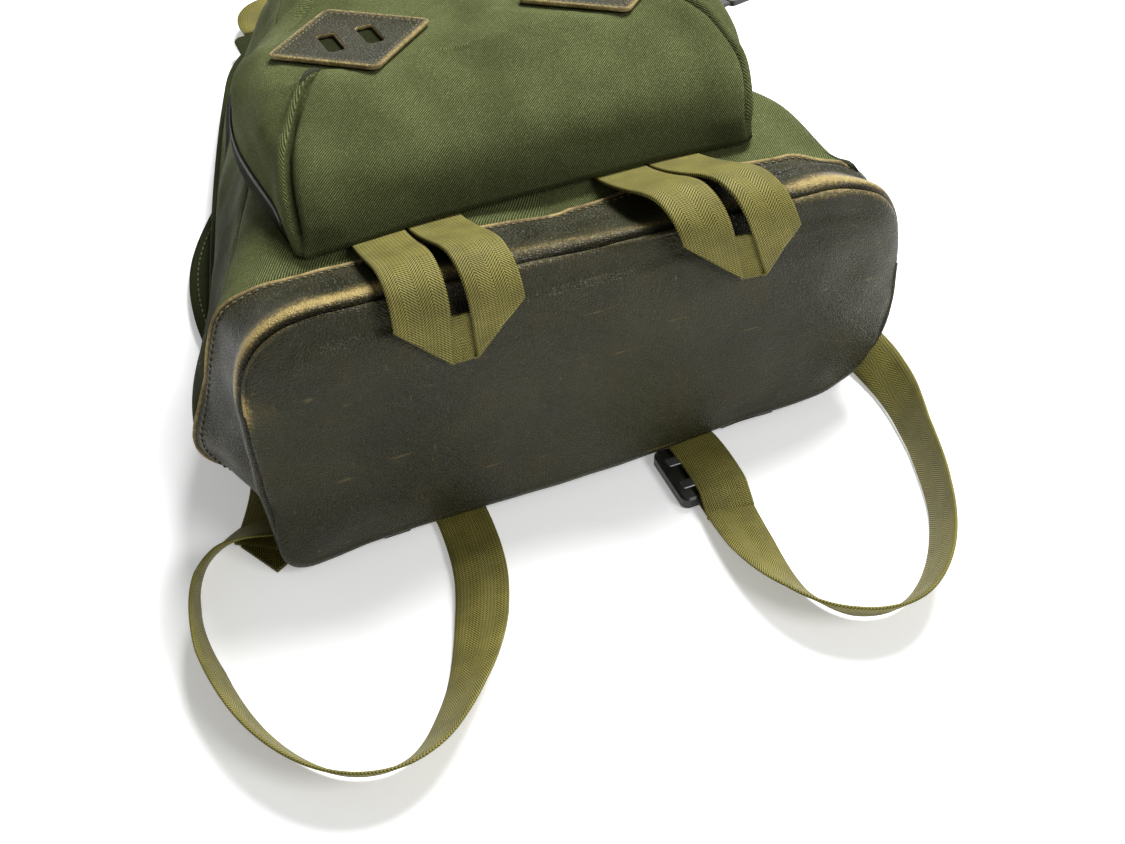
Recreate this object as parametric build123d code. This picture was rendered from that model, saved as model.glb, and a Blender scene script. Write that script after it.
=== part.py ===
"""School daypack with a leather foot, lying on its back on its shoulder straps.

Modelled in the pack's own directions: +X across it, +Y from its foot to its crown, +Z from its
back to its front, with the outside of the back panel at z = 0 and the outside of the foot at y = 0.
At the end everything moves so that the origin is under the middle of the pack, on the floor.
Sizes are in millimetres.
"""

import os
from math import asin, cos, degrees, radians, sin, tan

from build123d import *

# Pack body: teardrop outlines at the back and at the front, joined by ruled sides
DEPTH = 118
BACK_OUTLINE = {"foot_half": 158, "hip_half": 170, "crown_centre": 338, "crown_radius": 92}
FRONT_OUTLINE = {"foot_half": 150, "hip_half": 158, "crown_centre": 262, "crown_radius": 62}
HIP_HEIGHT = 48
CROWN_START = 20  # degrees above the horizontal where the round crown begins
WALL = 3
FOOT_CORNER_RADIUS = 24
FRONT_EDGE_RADIUS = 22
BACK_EDGE_RADIUS = 8
PIPING_SIZE = 2.4
BINDING_THICKNESS = 0.6
SEAM_GAP = 0.3  # half of the gap between two pieces that part company

# Where the body is divided into panels
LEATHER_HEIGHT = 46
FOOT_PANEL_THICKNESS = 4
BACK_PANEL_DEPTH = 8
FRONT_PANEL_START = 104
ZIP_LEVEL = 40
ZIP_TAPE_WIDTH = 12
ZIP_COIL_SIZE = 1.6
FLAP_HINGE = 262

# Front pocket: a D-shaped dome on the front panel
POCKET_CENTRE = 121
POCKET_RADIUS = 127
POCKET_FOOT = 52
POCKET_TOP_LEVEL = 176
POCKET_SIDE_LEAN = 0.2
POCKET_FOOT_LEAN = 0.7
POCKET_FACE_HEIGHT = 156  # the face's level at the lash patches' centres
POCKET_FACE_SLOPE = 0.17
POCKET_WALL = 2.5
POCKET_CORNER_RADIUS = 15
POCKET_EDGE_RADIUS = 12
POCKET_ZIP_LEVEL = 126
POCKET_ZIP_END = 76

# Webbing and what is sewn on
WEBBING_WIDTH = 25
WEBBING_THICKNESS = 1.8
LASH_SPACING = 124
LOOP_CENTRES = {"left": -71, "right": 58}
PATCH_CENTRE = 144
PATCH_SIDE = 57
PATCH_THICKNESS = 2.4
SLOT_WIDTH = 8
SLOT_LENGTH = 22
SLOT_SPACING = 19
LOOP_HALF_WIDTH = 30
LOOP_GAP = 5
LOOP_TIP = 82
LOOP_THICKNESS = 3
LOOP_SEAM = 50
LOOP_CLEARANCE = 0.8

# Shoulder straps, under the back panel
STRAP_WIDTH = 62
STRAP_PAD_TOP = -3.4
STRAP_PAD_BOTTOM = -12.4
FLOOR = -14
STRAP_TOP = 396
LEFT_STRAP = [(-44, STRAP_TOP), (-45, 345), (-78, 280), (-120, 205), (-122, 130), (-92, 66)]
RIGHT_STRAP = [(44, STRAP_TOP), (45, 345), (70, 270), (92, 195), (80, 110), (46, 34)]
LOCK_WIDTH = 34
LOCK_LENGTH = 36
LOCK_THICKNESS = 6
LOCK_SLOT = 5.5
LEFT_LOCK = (-78, 24)
RIGHT_LOCK = (43, -28)
TAIL_THICKNESS = 0.9
LEFT_TAIL = [(-101, 28), (-134, 18), (-169, 6)]
RIGHT_TAIL = [(2, 2), (-18, 13), (-42, 22)]

# Slack adjuster webbing, from each ladder lock round to the pack's lower corner
LEFT_ADJUSTER = [
    (-73, -3), (-74, -34), (-87, -72), (-108, -108), (-138, -136), (-172, -131),
    (-197, -99), (-207, -52), (-203, -10), (-181, 17), (-146, 21),
]
RIGHT_ADJUSTER = [
    (46, -48), (42, -82), (45, -118), (62, -141), (89, -147), (115, -130),
    (136, -98), (149, -58), (160, -16), (159, 20),
]


def body_measure(name, level):
    """A size of the teardrop outline at a level between the back and the front."""
    share = level / DEPTH
    return BACK_OUTLINE[name] * (1 - share) + FRONT_OUTLINE[name] * share


def teardrop(level, inset=0.0):
    """Outline of the pack body at a level: flat foot, flared hips and a round crown."""
    foot_half = body_measure("foot_half", level) - inset
    hip_half = body_measure("hip_half", level) - inset
    centre = body_measure("crown_centre", level)
    radius = body_measure("crown_radius", level) - inset
    start = radians(CROWN_START)
    shoulder = Vector(radius * cos(start), centre + radius * sin(start))
    hip = Vector(hip_half, HIP_HEIGHT)
    foot = Vector(foot_half, inset)
    flank = TangentArc(shoulder, hip, tangent=(sin(start), -cos(start)))
    hip_line = Line(hip, foot)
    half = Curve() + [flank, hip_line]
    crown = ThreePointArc(shoulder, (0, centre + radius), (-shoulder.X, shoulder.Y))
    foot_line = Line(foot, (-foot.X, foot.Y))
    outline = half + mirror(half, Plane.YZ) + crown + foot_line
    return Pos(0, 0, level) * make_face(outline.edges())


def rounded_body(inset=0.0):
    """The pack body as one solid, shrunk on every side by the inset."""
    solid = loft([teardrop(inset, inset), teardrop(DEPTH - inset, inset)], ruled=True)
    corners = [e for e in solid.edges() if e.center().Y < 1 + inset and abs(e.center().X) > 100]
    solid = fillet(corners, FOOT_CORNER_RADIUS - inset)
    solid = fillet(solid.faces().sort_by(Axis.Z)[-1].edges(), FRONT_EDGE_RADIUS - inset)
    return fillet(solid.faces().sort_by(Axis.Z)[0].edges(), BACK_EDGE_RADIUS - inset)


def region(x=(-300, 300), y=(-50, 600), z=(-50, 250)):
    """A box between the given limits, to cut pieces with."""
    size = (x[1] - x[0], y[1] - y[0], z[1] - z[0])
    centre = ((x[0] + x[1]) / 2, (y[0] + y[1]) / 2, (z[0] + z[1]) / 2)
    return Pos(*centre) * Box(*size)


def body_panels():
    """The pack body's wall, divided at its seams, with what stiffens it."""
    outside = rounded_body()
    wall = outside - rounded_body(WALL)
    hollow = rounded_body(WALL + 0.2)
    above_hinge = (FLAP_HINGE + SEAM_GAP, 600)
    below_hinge = (LEATHER_HEIGHT, FLAP_HINGE - SEAM_GAP)
    coil_ring = rounded_body(-ZIP_COIL_SIZE) - outside
    piping_ring = rounded_body(-PIPING_SIZE) - outside
    binding_ring = rounded_body(-BINDING_THICKNESS) - outside
    rear_zip = ZIP_LEVEL - SEAM_GAP
    front_zip = ZIP_LEVEL + SEAM_GAP
    main_wall = wall & region(y=(LEATHER_HEIGHT, 600), z=(BACK_PANEL_DEPTH, ZIP_LEVEL))
    gusset_right = wall & region((0, 300), below_hinge, (BACK_PANEL_DEPTH, FRONT_PANEL_START))
    sleeve = Pos(0, FOOT_PANEL_THICKNESS + 5 + 120, 21) * Box(210, 240, 2)
    return {
        "base_panel": wall & region(y=(-50, FOOT_PANEL_THICKNESS)),
        "base_band": wall & region(y=(FOOT_PANEL_THICKNESS, LEATHER_HEIGHT)),
        "base_edge_binding": binding_ring
        & region(y=(LEATHER_HEIGHT - 4, LEATHER_HEIGHT), z=(BACK_PANEL_DEPTH, 200)),
        "base_board": hollow & region(y=(0, FOOT_PANEL_THICKNESS + 5), z=(4, DEPTH - 4)),
        "front_panel": wall & region(y=below_hinge, z=(FRONT_PANEL_START, 200)),
        "gusset_left": mirror(gusset_right, Plane.YZ),
        "gusset_right": gusset_right,
        "crown_gusset": main_wall & region(y=above_hinge, z=(0, ZIP_LEVEL - ZIP_TAPE_WIDTH)),
        "rear_zip_tape": wall & region(y=above_hinge, z=(ZIP_LEVEL - ZIP_TAPE_WIDTH, rear_zip)),
        "rear_zip_coil": coil_ring & region(y=above_hinge, z=(rear_zip - ZIP_COIL_SIZE, rear_zip)),
        "back_panel": wall & region(y=(LEATHER_HEIGHT, 600), z=(-50, BACK_PANEL_DEPTH)),
        "back_piping": piping_ring & region(y=(LEATHER_HEIGHT, 600), z=(8, 12)),
        "back_pad": extrude(teardrop(WALL, 26), 8) & region(y=(60, 600)),
        "book_sleeve": sleeve,
        "flap_panel": wall & region(y=above_hinge, z=(FRONT_PANEL_START, 200)),
        "flap_gusset": wall
        & region(y=above_hinge, z=(ZIP_LEVEL + ZIP_TAPE_WIDTH, FRONT_PANEL_START)),
        "flap_zip_tape": wall & region(y=above_hinge, z=(front_zip, ZIP_LEVEL + ZIP_TAPE_WIDTH)),
        "flap_zip_coil": coil_ring
        & region(y=above_hinge, z=(front_zip, front_zip + ZIP_COIL_SIZE)),
    }


def pocket_outline(level, inset=0.0):
    """D-shaped outline of the pocket at a level: half a circle above a flat foot."""
    height = level - DEPTH
    radius = POCKET_RADIUS - POCKET_SIDE_LEAN * height - inset
    foot = POCKET_FOOT + POCKET_FOOT_LEAN * height + inset
    arch = ThreePointArc((radius, POCKET_CENTRE), (0, POCKET_CENTRE + radius), (-radius, POCKET_CENTRE))
    sides = Polyline((-radius, POCKET_CENTRE), (-radius, foot), (radius, foot), (radius, POCKET_CENTRE))
    return Pos(0, 0, level) * make_face((arch + sides).edges())


def face_height(y, inset=0.0):
    """Level of the pocket's sloping face."""
    return POCKET_FACE_HEIGHT - POCKET_FACE_SLOPE * (y - PATCH_CENTRE) - inset


def pocket_dome(inset=0.0):
    """The pocket as one solid with a sloping face, shrunk by the inset."""
    solid = loft([pocket_outline(DEPTH, inset), pocket_outline(POCKET_TOP_LEVEL, inset)], ruled=True)
    corners = [e for e in solid.edges() if abs(e.center().X) > 90 and DEPTH + 5 < e.center().Z < 160]
    solid = fillet([e for e in corners if e.center().Y < 90], POCKET_CORNER_RADIUS)
    low, high = 20, 300
    above = Polyline(
        (low, face_height(low, inset)), (high, face_height(high, inset)), (high, 300), (low, 300),
        close=True,
    )
    solid -= extrude(make_face(Plane.YZ * above), 200, both=True)
    face = solid.faces().sort_by(Axis.Z)[-1]
    return fillet(face.edges(), POCKET_EDGE_RADIUS - inset)


def pocket_pieces():
    """Front pocket: gusset on the body, opening front, and the zip between them."""
    outside = pocket_dome()
    wall = outside - (pocket_dome(POCKET_WALL) & region(z=(0, 250)))
    coil_ring = extrude(pocket_outline(DEPTH, -ZIP_COIL_SIZE), 12) - extrude(
        pocket_outline(DEPTH, 0), 12
    )
    low = POCKET_ZIP_LEVEL - SEAM_GAP
    high = POCKET_ZIP_LEVEL + SEAM_GAP
    zip_length = (POCKET_ZIP_END + SEAM_GAP, 600)
    front = wall & region(z=(high, 250))
    foot = wall & region(y=(0, POCKET_ZIP_END - SEAM_GAP), z=(DEPTH + SEAM_GAP, high))
    return {
        "pocket_front": front + foot,
        "pocket_gusset": wall & region(y=zip_length, z=(DEPTH, low)),
        "pocket_rear_coil": coil_ring & region(y=zip_length, z=(low - ZIP_COIL_SIZE, low)),
        "pocket_front_coil": (coil_ring & region(y=zip_length, z=(high, high + ZIP_COIL_SIZE))),
    }


def lash_patch(side):
    """Square leather patch set as a diamond, with two slots for a lashing strap."""
    slots = Sketch() + [
        Pos(shift * SLOT_SPACING / 2, 0) * RectangleRounded(SLOT_WIDTH, SLOT_LENGTH, 2)
        for shift in (-1, 1)
    ]
    diamond = Rot(0, 0, 45) * RectangleRounded(PATCH_SIDE, PATCH_SIDE, 4)
    plate = extrude(diamond - slots, PATCH_THICKNESS)
    tilt = -degrees(asin(POCKET_FACE_SLOPE))
    return Pos(side * LASH_SPACING / 2, PATCH_CENTRE, POCKET_FACE_HEIGHT + 0.2) * Rot(tilt, 0, 0) * plate


def rounded_block(y, z, radius, half_width):
    """A block from y[0] towards the crown, its lower front edge rounded like the pack's."""
    block = region(x=(-half_width, half_width), y=y, z=z)
    edge = block.edges().filter_by(Axis.X).group_by(Axis.Y)[0].sort_by(Axis.Z)[-1]
    return fillet(edge, radius)


def lash_loop(centre):
    """Webbing folded to a point, draped from the pocket's foot over the leather edge."""
    level = DEPTH + LOOP_CLEARANCE
    skin = LOOP_CLEARANCE + LOOP_THICKNESS
    half = LOOP_HALF_WIDTH
    outer = rounded_block((-skin, LOOP_SEAM), (LOOP_TIP, DEPTH + skin), FRONT_EDGE_RADIUS + skin, half)
    inner = rounded_block((-LOOP_CLEARANCE, 300), (-50, level), FRONT_EDGE_RADIUS + LOOP_CLEARANCE, 200)
    drape = outer - inner
    for end in (-1, 1):
        outer_corner = (end * half, LOOP_TIP)
        below_fold = Polyline((0, LOOP_TIP), (end * half, LOOP_TIP + half), outer_corner, close=True)
        drape -= extrude(Plane.XZ * make_face(below_fold), 40, both=True)
    gap = region(x=(-LOOP_GAP / 2, LOOP_GAP / 2), y=(-50, LOOP_SEAM - 4), z=(LOOP_TIP + half + 4, 200))
    return Pos(centre, 0, 0) * (drape - gap)


def zip_slider():
    """A slider with two ears, on the XY plane, its pull towards +Y."""
    plate = extrude(RectangleRounded(10, 12, 2.5), 2.6)
    ear = extrude(Plane.YZ * Pos(2.5, 2.6) * RectangleRounded(4.4, 5.2, 1.6), 0.8, both=True)
    return plate + Pos(-4.2, 0, 0) * ear + Pos(4.2, 0, 0) * ear


def zip_pull(length):
    """A pull tab whose barrel turns between the slider's ears."""
    barrel = Pos(0, 2.5, 4.6) * Rot(0, 90, 0) * Cylinder(1.5, 6.2)
    tab = Pos(0, 2.5 + length / 2, 4.6) * Box(6.2, length, 2)
    grip = Pos(0, 2.5 + length * 0.7, 4.6) * extrude(RectangleRounded(9, length * 0.6, 3), 1.5, both=True)
    return barrel + tab + grip


def crown_plane():
    """Surface of the crown at the main zip, at the top of the arc."""
    fall_y = BACK_OUTLINE["crown_centre"] + BACK_OUTLINE["crown_radius"]
    fall_y -= FRONT_OUTLINE["crown_centre"] + FRONT_OUTLINE["crown_radius"]
    lean = Vector(0, fall_y, -DEPTH).normalized()
    outward = Vector(0, -lean.Z, lean.Y)
    top = body_measure("crown_centre", ZIP_LEVEL) + body_measure("crown_radius", ZIP_LEVEL)
    origin = Vector(0, top, ZIP_LEVEL) + outward * (ZIP_COIL_SIZE + 0.6)
    return Plane(origin, x_dir=(1, 0, 0), z_dir=outward)


def turned_about(shape, centre_y, angle):
    """A shape turned about a line parallel to Z on the pack's centre plane."""
    return shape.rotate(Axis((0, centre_y, 0), (0, 0, 1)), angle)


def zip_fittings():
    """Sliders and pulls of both zips."""
    crown = crown_plane()
    turn_centre = body_measure("crown_centre", ZIP_LEVEL)
    pieces = {}
    for name, angle in (("left", 6), ("right", -6)):
        pieces[f"main_slider_{name}"] = turned_about(crown * zip_slider(), turn_centre, angle)
        pieces[f"main_pull_{name}"] = turned_about(crown * zip_pull(34), turn_centre, angle)
    top = Vector(0, POCKET_CENTRE + POCKET_RADIUS + ZIP_COIL_SIZE + 0.5, POCKET_ZIP_LEVEL)
    edge = Plane(top, x_dir=(-1, 0, 0), z_dir=(0, 1, 0))
    rest = -78
    slider = edge * (zip_slider() - Pos(0, 14, 0) * Box(20, 10, 20))
    pull = edge * (Pos(0, 2.5, 4.6) * Rot(90, 0, 0) * Pos(0, -2.5, -4.6) * zip_pull(26))
    pieces["pocket_slider"] = turned_about(slider, POCKET_CENTRE, rest)
    pieces["pocket_pull"] = turned_about(pull, POCKET_CENTRE, rest)
    return pieces


def rounded_route(points):
    """Straight runs joined by arcs as large as the runs allow."""
    route = [Vector(*point) for point in points]
    radii = []
    for before, corner, after in zip(route, route[1:], route[2:]):
        shorter = min((corner - before).length, (after - corner).length)
        turn = (corner - before).get_angle(after - corner)
        radii.append(0.45 * shorter / tan(radians(turn / 2)))
    return FilletPolyline(*route, radius=radii), radii


def flat_strip(points, width, bottom, top):
    """A strip of even width along a route, between two levels."""
    line, _ = rounded_route(points)
    return Pos(0, 0, bottom) * extrude(trace(line, line_width=width), top - bottom)


def ladder_lock(centre):
    """Plastic ladder lock with two slots between its three bars."""
    frame = RectangleRounded(LOCK_WIDTH, LOCK_LENGTH, 4)
    for shift in (-LOCK_LENGTH * 0.22, LOCK_LENGTH * 0.22):
        frame -= Pos(0, shift) * RectangleRounded(LOCK_WIDTH - 7, LOCK_SLOT, 1.5)
    lock = extrude(frame, LOCK_THICKNESS)
    lock = chamfer(lock.faces().sort_by(Axis.Z)[-1].outer_wire().edges(), 1)
    return Pos(centre[0], centre[1], FLOOR + 1) * lock


def shoulder_strap(name, route, lock_centre, tail):
    """A padded strap with its webbing, the tab that holds its ladder lock, the lock and the tail."""
    end = Vector(*route[-1])
    tab_end = Vector(*lock_centre) + Vector(0, LOCK_LENGTH / 2 + 0.6)
    tab_middle = (end + tab_end) * 0.5 + Vector(0.6, 0)
    tab = [(point.X, point.Y) for point in (end, tab_middle, tab_end)]
    return {
        f"strap_pad_{name}": flat_strip(route, STRAP_WIDTH, STRAP_PAD_BOTTOM, STRAP_PAD_TOP),
        f"strap_webbing_{name}": flat_strip(route, WEBBING_WIDTH, FLOOR, STRAP_PAD_BOTTOM),
        f"strap_tab_{name}": flat_strip(tab, WEBBING_WIDTH, STRAP_PAD_TOP, STRAP_PAD_TOP + 2),
        f"strap_tail_{name}": flat_strip(tail, WEBBING_WIDTH, FLOOR, FLOOR + TAIL_THICKNESS),
        f"ladder_lock_{name}": ladder_lock(lock_centre),
    }


def back_pieces():
    """What is sewn to the back panel: strap yoke, haul loop and corner tabs."""
    crown_y = BACK_OUTLINE["crown_centre"] + BACK_OUTLINE["crown_radius"]
    yoke_top = crown_y + 4
    yoke = Pos(0, (STRAP_TOP + 2 + yoke_top) / 2, -1.5) * Box(128, yoke_top - STRAP_TOP - 2, 3)
    loop_bottom = yoke_top + 2
    loop = Pos(0, loop_bottom + 20) * RectangleRounded(112, 40, 14)
    loop -= Pos(0, loop_bottom + 11) * RectangleRounded(70, 34, 10)
    pieces = {
        "strap_yoke": yoke,
        "haul_loop": Pos(0, 0, -3) * (extrude(loop, 3) & region(y=(loop_bottom, 600))),
    }
    for name, side in (("left", -1), ("right", 1)):
        tab = Polyline(
            (side * 118, 10), (side * 164, 14), (side * 168, 40), (side * 140, 62), close=True
        )
        pieces[f"corner_tab_{name}"] = Pos(0, 0, -3) * extrude(make_face(tab), 3)
    return pieces


def all_pieces():
    """Every sub-part of the pack by name."""
    pieces = {**body_panels(), **pocket_pieces(), **zip_fittings(), **back_pieces()}
    for name, side in (("left", -1), ("right", 1)):
        pieces[f"lash_patch_{name}"] = lash_patch(side)
        pieces[f"lash_loop_{name}"] = lash_loop(LOOP_CENTRES[name])
    pieces.update(shoulder_strap("left", LEFT_STRAP, LEFT_LOCK, LEFT_TAIL))
    pieces.update(shoulder_strap("right", RIGHT_STRAP, RIGHT_LOCK, RIGHT_TAIL))
    return pieces


def adjuster_webbing():
    """The slack webbing that lies on the floor in front of the foot."""
    webbing = {}
    for name, route in (("left", LEFT_ADJUSTER), ("right", RIGHT_ADJUSTER)):
        line, radii = rounded_route(route)
        webbing[f"adjuster_webbing_{name}"] = flat_strip(
            route, WEBBING_WIDTH, FLOOR + 2, FLOOR + 2 + WEBBING_THICKNESS
        )
        print(name, "adjuster:", round(line.length), "mm, radii", [round(r) for r in radii])
    return webbing


os.makedirs("parts", exist_ok=True)
pack = all_pieces()
box = Compound([solid for shape in pack.values() for solid in shape.solids()]).bounding_box()
to_floor = Pos(0, -round(box.center().Y, 3), -FLOOR)
print("moved by", to_floor.position)
for node, shape in {**pack, **adjuster_webbing()}.items():
    export_step(to_floor * shape, f"parts/{node}.step")
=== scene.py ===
"""Looks of a school daypack with a leather foot, lying on its back on its shoulder straps.

Shapes are worked out in the pack's own millimetres, with the CAD's directions: +X across it, +Y from its
foot (0) to its crown, +Z from its back panel (0) to its front. metres() takes them to the row frame.
"""

from math import cos, pi, radians, sin, sqrt

import bmesh
import bpy
import numpy as np
from mathutils import Matrix, Vector


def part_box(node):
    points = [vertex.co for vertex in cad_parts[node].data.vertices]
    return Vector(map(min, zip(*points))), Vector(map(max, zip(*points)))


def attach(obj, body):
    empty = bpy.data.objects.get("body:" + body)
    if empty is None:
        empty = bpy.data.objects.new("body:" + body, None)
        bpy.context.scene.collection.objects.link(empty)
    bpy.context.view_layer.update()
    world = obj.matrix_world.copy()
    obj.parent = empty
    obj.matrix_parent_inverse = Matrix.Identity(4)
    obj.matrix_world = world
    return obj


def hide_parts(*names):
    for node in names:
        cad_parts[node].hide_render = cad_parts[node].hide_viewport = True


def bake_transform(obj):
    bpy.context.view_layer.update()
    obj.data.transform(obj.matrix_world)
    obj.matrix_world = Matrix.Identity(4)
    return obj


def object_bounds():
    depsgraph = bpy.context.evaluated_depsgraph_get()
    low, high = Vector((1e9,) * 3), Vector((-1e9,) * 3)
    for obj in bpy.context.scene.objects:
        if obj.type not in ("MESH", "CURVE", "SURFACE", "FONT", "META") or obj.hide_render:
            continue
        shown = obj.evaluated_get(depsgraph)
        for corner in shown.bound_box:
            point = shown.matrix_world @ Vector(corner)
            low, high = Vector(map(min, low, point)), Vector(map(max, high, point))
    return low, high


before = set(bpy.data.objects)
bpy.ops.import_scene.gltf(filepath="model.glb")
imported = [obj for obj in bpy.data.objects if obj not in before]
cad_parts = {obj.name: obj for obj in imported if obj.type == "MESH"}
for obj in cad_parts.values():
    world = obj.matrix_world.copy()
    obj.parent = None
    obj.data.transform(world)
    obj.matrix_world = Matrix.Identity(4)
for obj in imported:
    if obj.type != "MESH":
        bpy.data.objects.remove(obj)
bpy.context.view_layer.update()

ORIGIN = np.array([0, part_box("base_panel")[0].y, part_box("back_panel")[0].z])
FLOOR = -14.0  # level of the floor below the back panel

# Pack body, as in the CAD
DEPTH = 118
BACK_OUTLINE = {"hip_half": 170, "crown_centre": 338, "crown_radius": 92}
FRONT_OUTLINE = {"hip_half": 158, "crown_centre": 262, "crown_radius": 62}
HIP_HEIGHT = 48
CROWN_START = radians(20)
FRONT_EDGE_RADIUS = 22
BACK_EDGE_RADIUS = 8
BACK_PANEL_DEPTH = 8
FRONT_PANEL_START = 104
LEATHER_HEIGHT = 42
FABRIC_FOOT = 27.5  # the fabric starts under the leather's edge
ZIP_LEVEL = 40
ZIP_TAPE_WIDTH = 12
SEAM_GAP = 0.3
FLAP_HINGE = 262

# Front pocket
POCKET_CENTRE = 121
POCKET_RADIUS = 127
POCKET_FOOT = 52
POCKET_SIDE_LEAN = 0.2
POCKET_FOOT_LEAN = 0.7
POCKET_FACE_HEIGHT = 156
POCKET_FACE_SLOPE = 0.17
PATCH_CENTRE = 144
SLOT_WIDTH = 8
SLOT_LENGTH = 22
SLOT_SPACING = 19
POCKET_CORNER_RADIUS = 7
POCKET_EDGE_RADIUS = 17
POCKET_FOOT_EDGE_RADIUS = 36
POCKET_ZIP_LEVEL = 126
POCKET_FACE_MIDDLE = 158.0
POCKET_THICKNESS = 1.8

# Webbing
WEBBING_WIDTH = 25
WEBBING_THICKNESS = 1.8
ADJUSTER_THICKNESS = 1.6
LASH_SPACING = 124

LEFT_ADJUSTER = [
    (-73, -3), (-74, -34), (-87, -72), (-108, -108), (-138, -136), (-172, -131),
    (-197, -99), (-207, -52), (-203, -10), (-181, 17), (-146, 21),
]
RIGHT_ADJUSTER = [
    (46, -48), (42, -82), (45, -118), (62, -141), (89, -147), (115, -130),
    (136, -98), (149, -58), (160, -16), (159, 20),
]
# How far the webbing is turned up on its edge at each of those points, in degrees
LEFT_TILT = [0, 4, 14, 42, 56, 60, 63, 68, 94, 134, 176]
RIGHT_TILT = [0, 16, 48, 58, 60, 66, 76, 76, 58, 30]

STRAP_WIDTH = 62
STRAP_PAD_TOP = -3.4
STRAP_PAD_BOTTOM = -12.4
LEFT_STRAP = [(-44, 396), (-45, 345), (-78, 280), (-120, 205), (-122, 130), (-92, 66)]
RIGHT_STRAP = [(44, 396), (45, 345), (70, 270), (92, 195), (80, 110), (46, 34)]
LEFT_LOCK = (-78, 24)
RIGHT_LOCK = (43, -28)
LEFT_TAIL = [(-101, 30), (-137, 22.5), (-169, 6)]
RIGHT_TAIL = [(-9, 8), (-24, 15.5), (-42, 22)]
LEFT_LEAD = [
    (-78, 44, -7), (-78, 36, -4.6), (-77.5, 24, -4.2), (-76, 8, -4.4), (-74.6, 1, -6.6), (-73.8, -4, -9.4),
    (-73.4, -8, -11),
]
RIGHT_LEAD = [
    (46, -6, -7), (46.5, -15, -4.6), (47, -28, -4.2), (46.6, -44, -4.4), (46, -50, -6.6), (45.6, -55, -9.4),
    (45.2, -58, -11),
]


# ---------------------------------------------------------------- shapes as arrays of points


def metres(points):
    """Points in the pack's millimetres, taken to the row frame."""
    return ORIGIN + np.asarray(points, float) / 1000


def at(x, y, z):
    """One point in the pack's millimetres, as a vector in the row frame."""
    return Vector(metres((x, y, z)))


def unit(vectors):
    return vectors / np.maximum(np.linalg.norm(vectors, axis=-1, keepdims=True), 1e-9)


def smooth_step(value, low, high):
    share = np.clip((value - low) / (high - low), 0, 1)
    return share * share * (3 - 2 * share)


def hump(value, middle, spread):
    """A smooth hump, 1 at the middle."""
    return np.exp(-(((value - middle) / spread) ** 2))


def waves(points, size, seed, count=10):
    """Smooth random unevenness at each point, about -1 to 1, with features of the given size."""
    draw = np.random.default_rng(seed)
    directions = unit(draw.normal(size=(3, count)).T).T
    pitch = draw.uniform(0.6, 1.5, count) * 2 * pi / (2 * size)
    phase = draw.uniform(0, 2 * pi, count)
    return np.sin(points @ (directions * pitch) + phase).sum(-1) / sqrt(count / 2) / 1.6


def lengths_along(points):
    """Distance from the first point to each point of a line."""
    steps = np.linalg.norm(np.diff(points, axis=0), axis=1)
    return np.concatenate([[0], np.cumsum(steps)])


def between_rows(places, known, rows):
    """Rows of numbers read off at places between the known ones."""
    return np.stack([np.interp(places, known, rows[:, i]) for i in range(rows.shape[1])], -1)


def place_on(points, distances):
    """Points at given distances along a line of points."""
    return between_rows(distances, lengths_along(points), points)


def smooth_line(points, spacing=3.0):
    """A curve through the points, with a point about every few millimetres."""
    points = np.asarray(points, float)
    before = 2 * points[0] - points[1]
    after = 2 * points[-1] - points[-2]
    guide = np.vstack([before, points, after])
    fine = []
    for i in range(1, len(guide) - 2):
        for t in np.linspace(0, 1, 24, endpoint=False):
            a, b, c, d = guide[i - 1 : i + 3]
            fine.append(
                0.5 * (2 * b + (c - a) * t + (2 * a - 5 * b + 4 * c - d) * t**2
                       + (3 * b - a - 3 * c + d) * t**3)
            )
    fine = np.array([*fine, points[-1]])
    length = lengths_along(fine)[-1]
    return place_on(fine, np.linspace(0, length, max(4, round(length / spacing) + 1)))


def grid_normals(grid):
    """Normals of a grid of points, on the side where rows turn anticlockwise to columns."""
    across = np.gradient(grid, axis=1)
    along = np.gradient(grid, axis=0)
    return unit(np.cross(across, along))


def facing_out(normals, grid, centre):
    """Normals turned, point by point, away from a centre."""
    return normals * np.sign((normals * unit(grid - np.array(centre))).sum(-1, keepdims=True))


def grid_faces(rows, columns):
    index = np.arange(rows * columns).reshape(rows, columns)
    corners = [index[:-1, :-1], index[:-1, 1:], index[1:, 1:], index[1:, :-1]]
    return np.stack(corners, -1).reshape(-1, 4)


def link(thing):
    """An object, put into the scene."""
    bpy.context.scene.collection.objects.link(thing)
    return thing


def curve_mesh(curve):
    """The mesh that a curve makes."""
    holder = link(bpy.data.objects.new(curve.name, curve))
    bpy.context.view_layer.update()
    mesh = bpy.data.meshes.new_from_object(holder)
    bpy.data.objects.remove(holder)
    return mesh


def with_bmesh(mesh, change):
    """Change a mesh, and turn its faces outward."""
    work = bmesh.new()
    work.from_mesh(mesh)
    change(work)
    bmesh.ops.recalc_face_normals(work, faces=work.faces)
    work.to_mesh(mesh)
    work.free()


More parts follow.
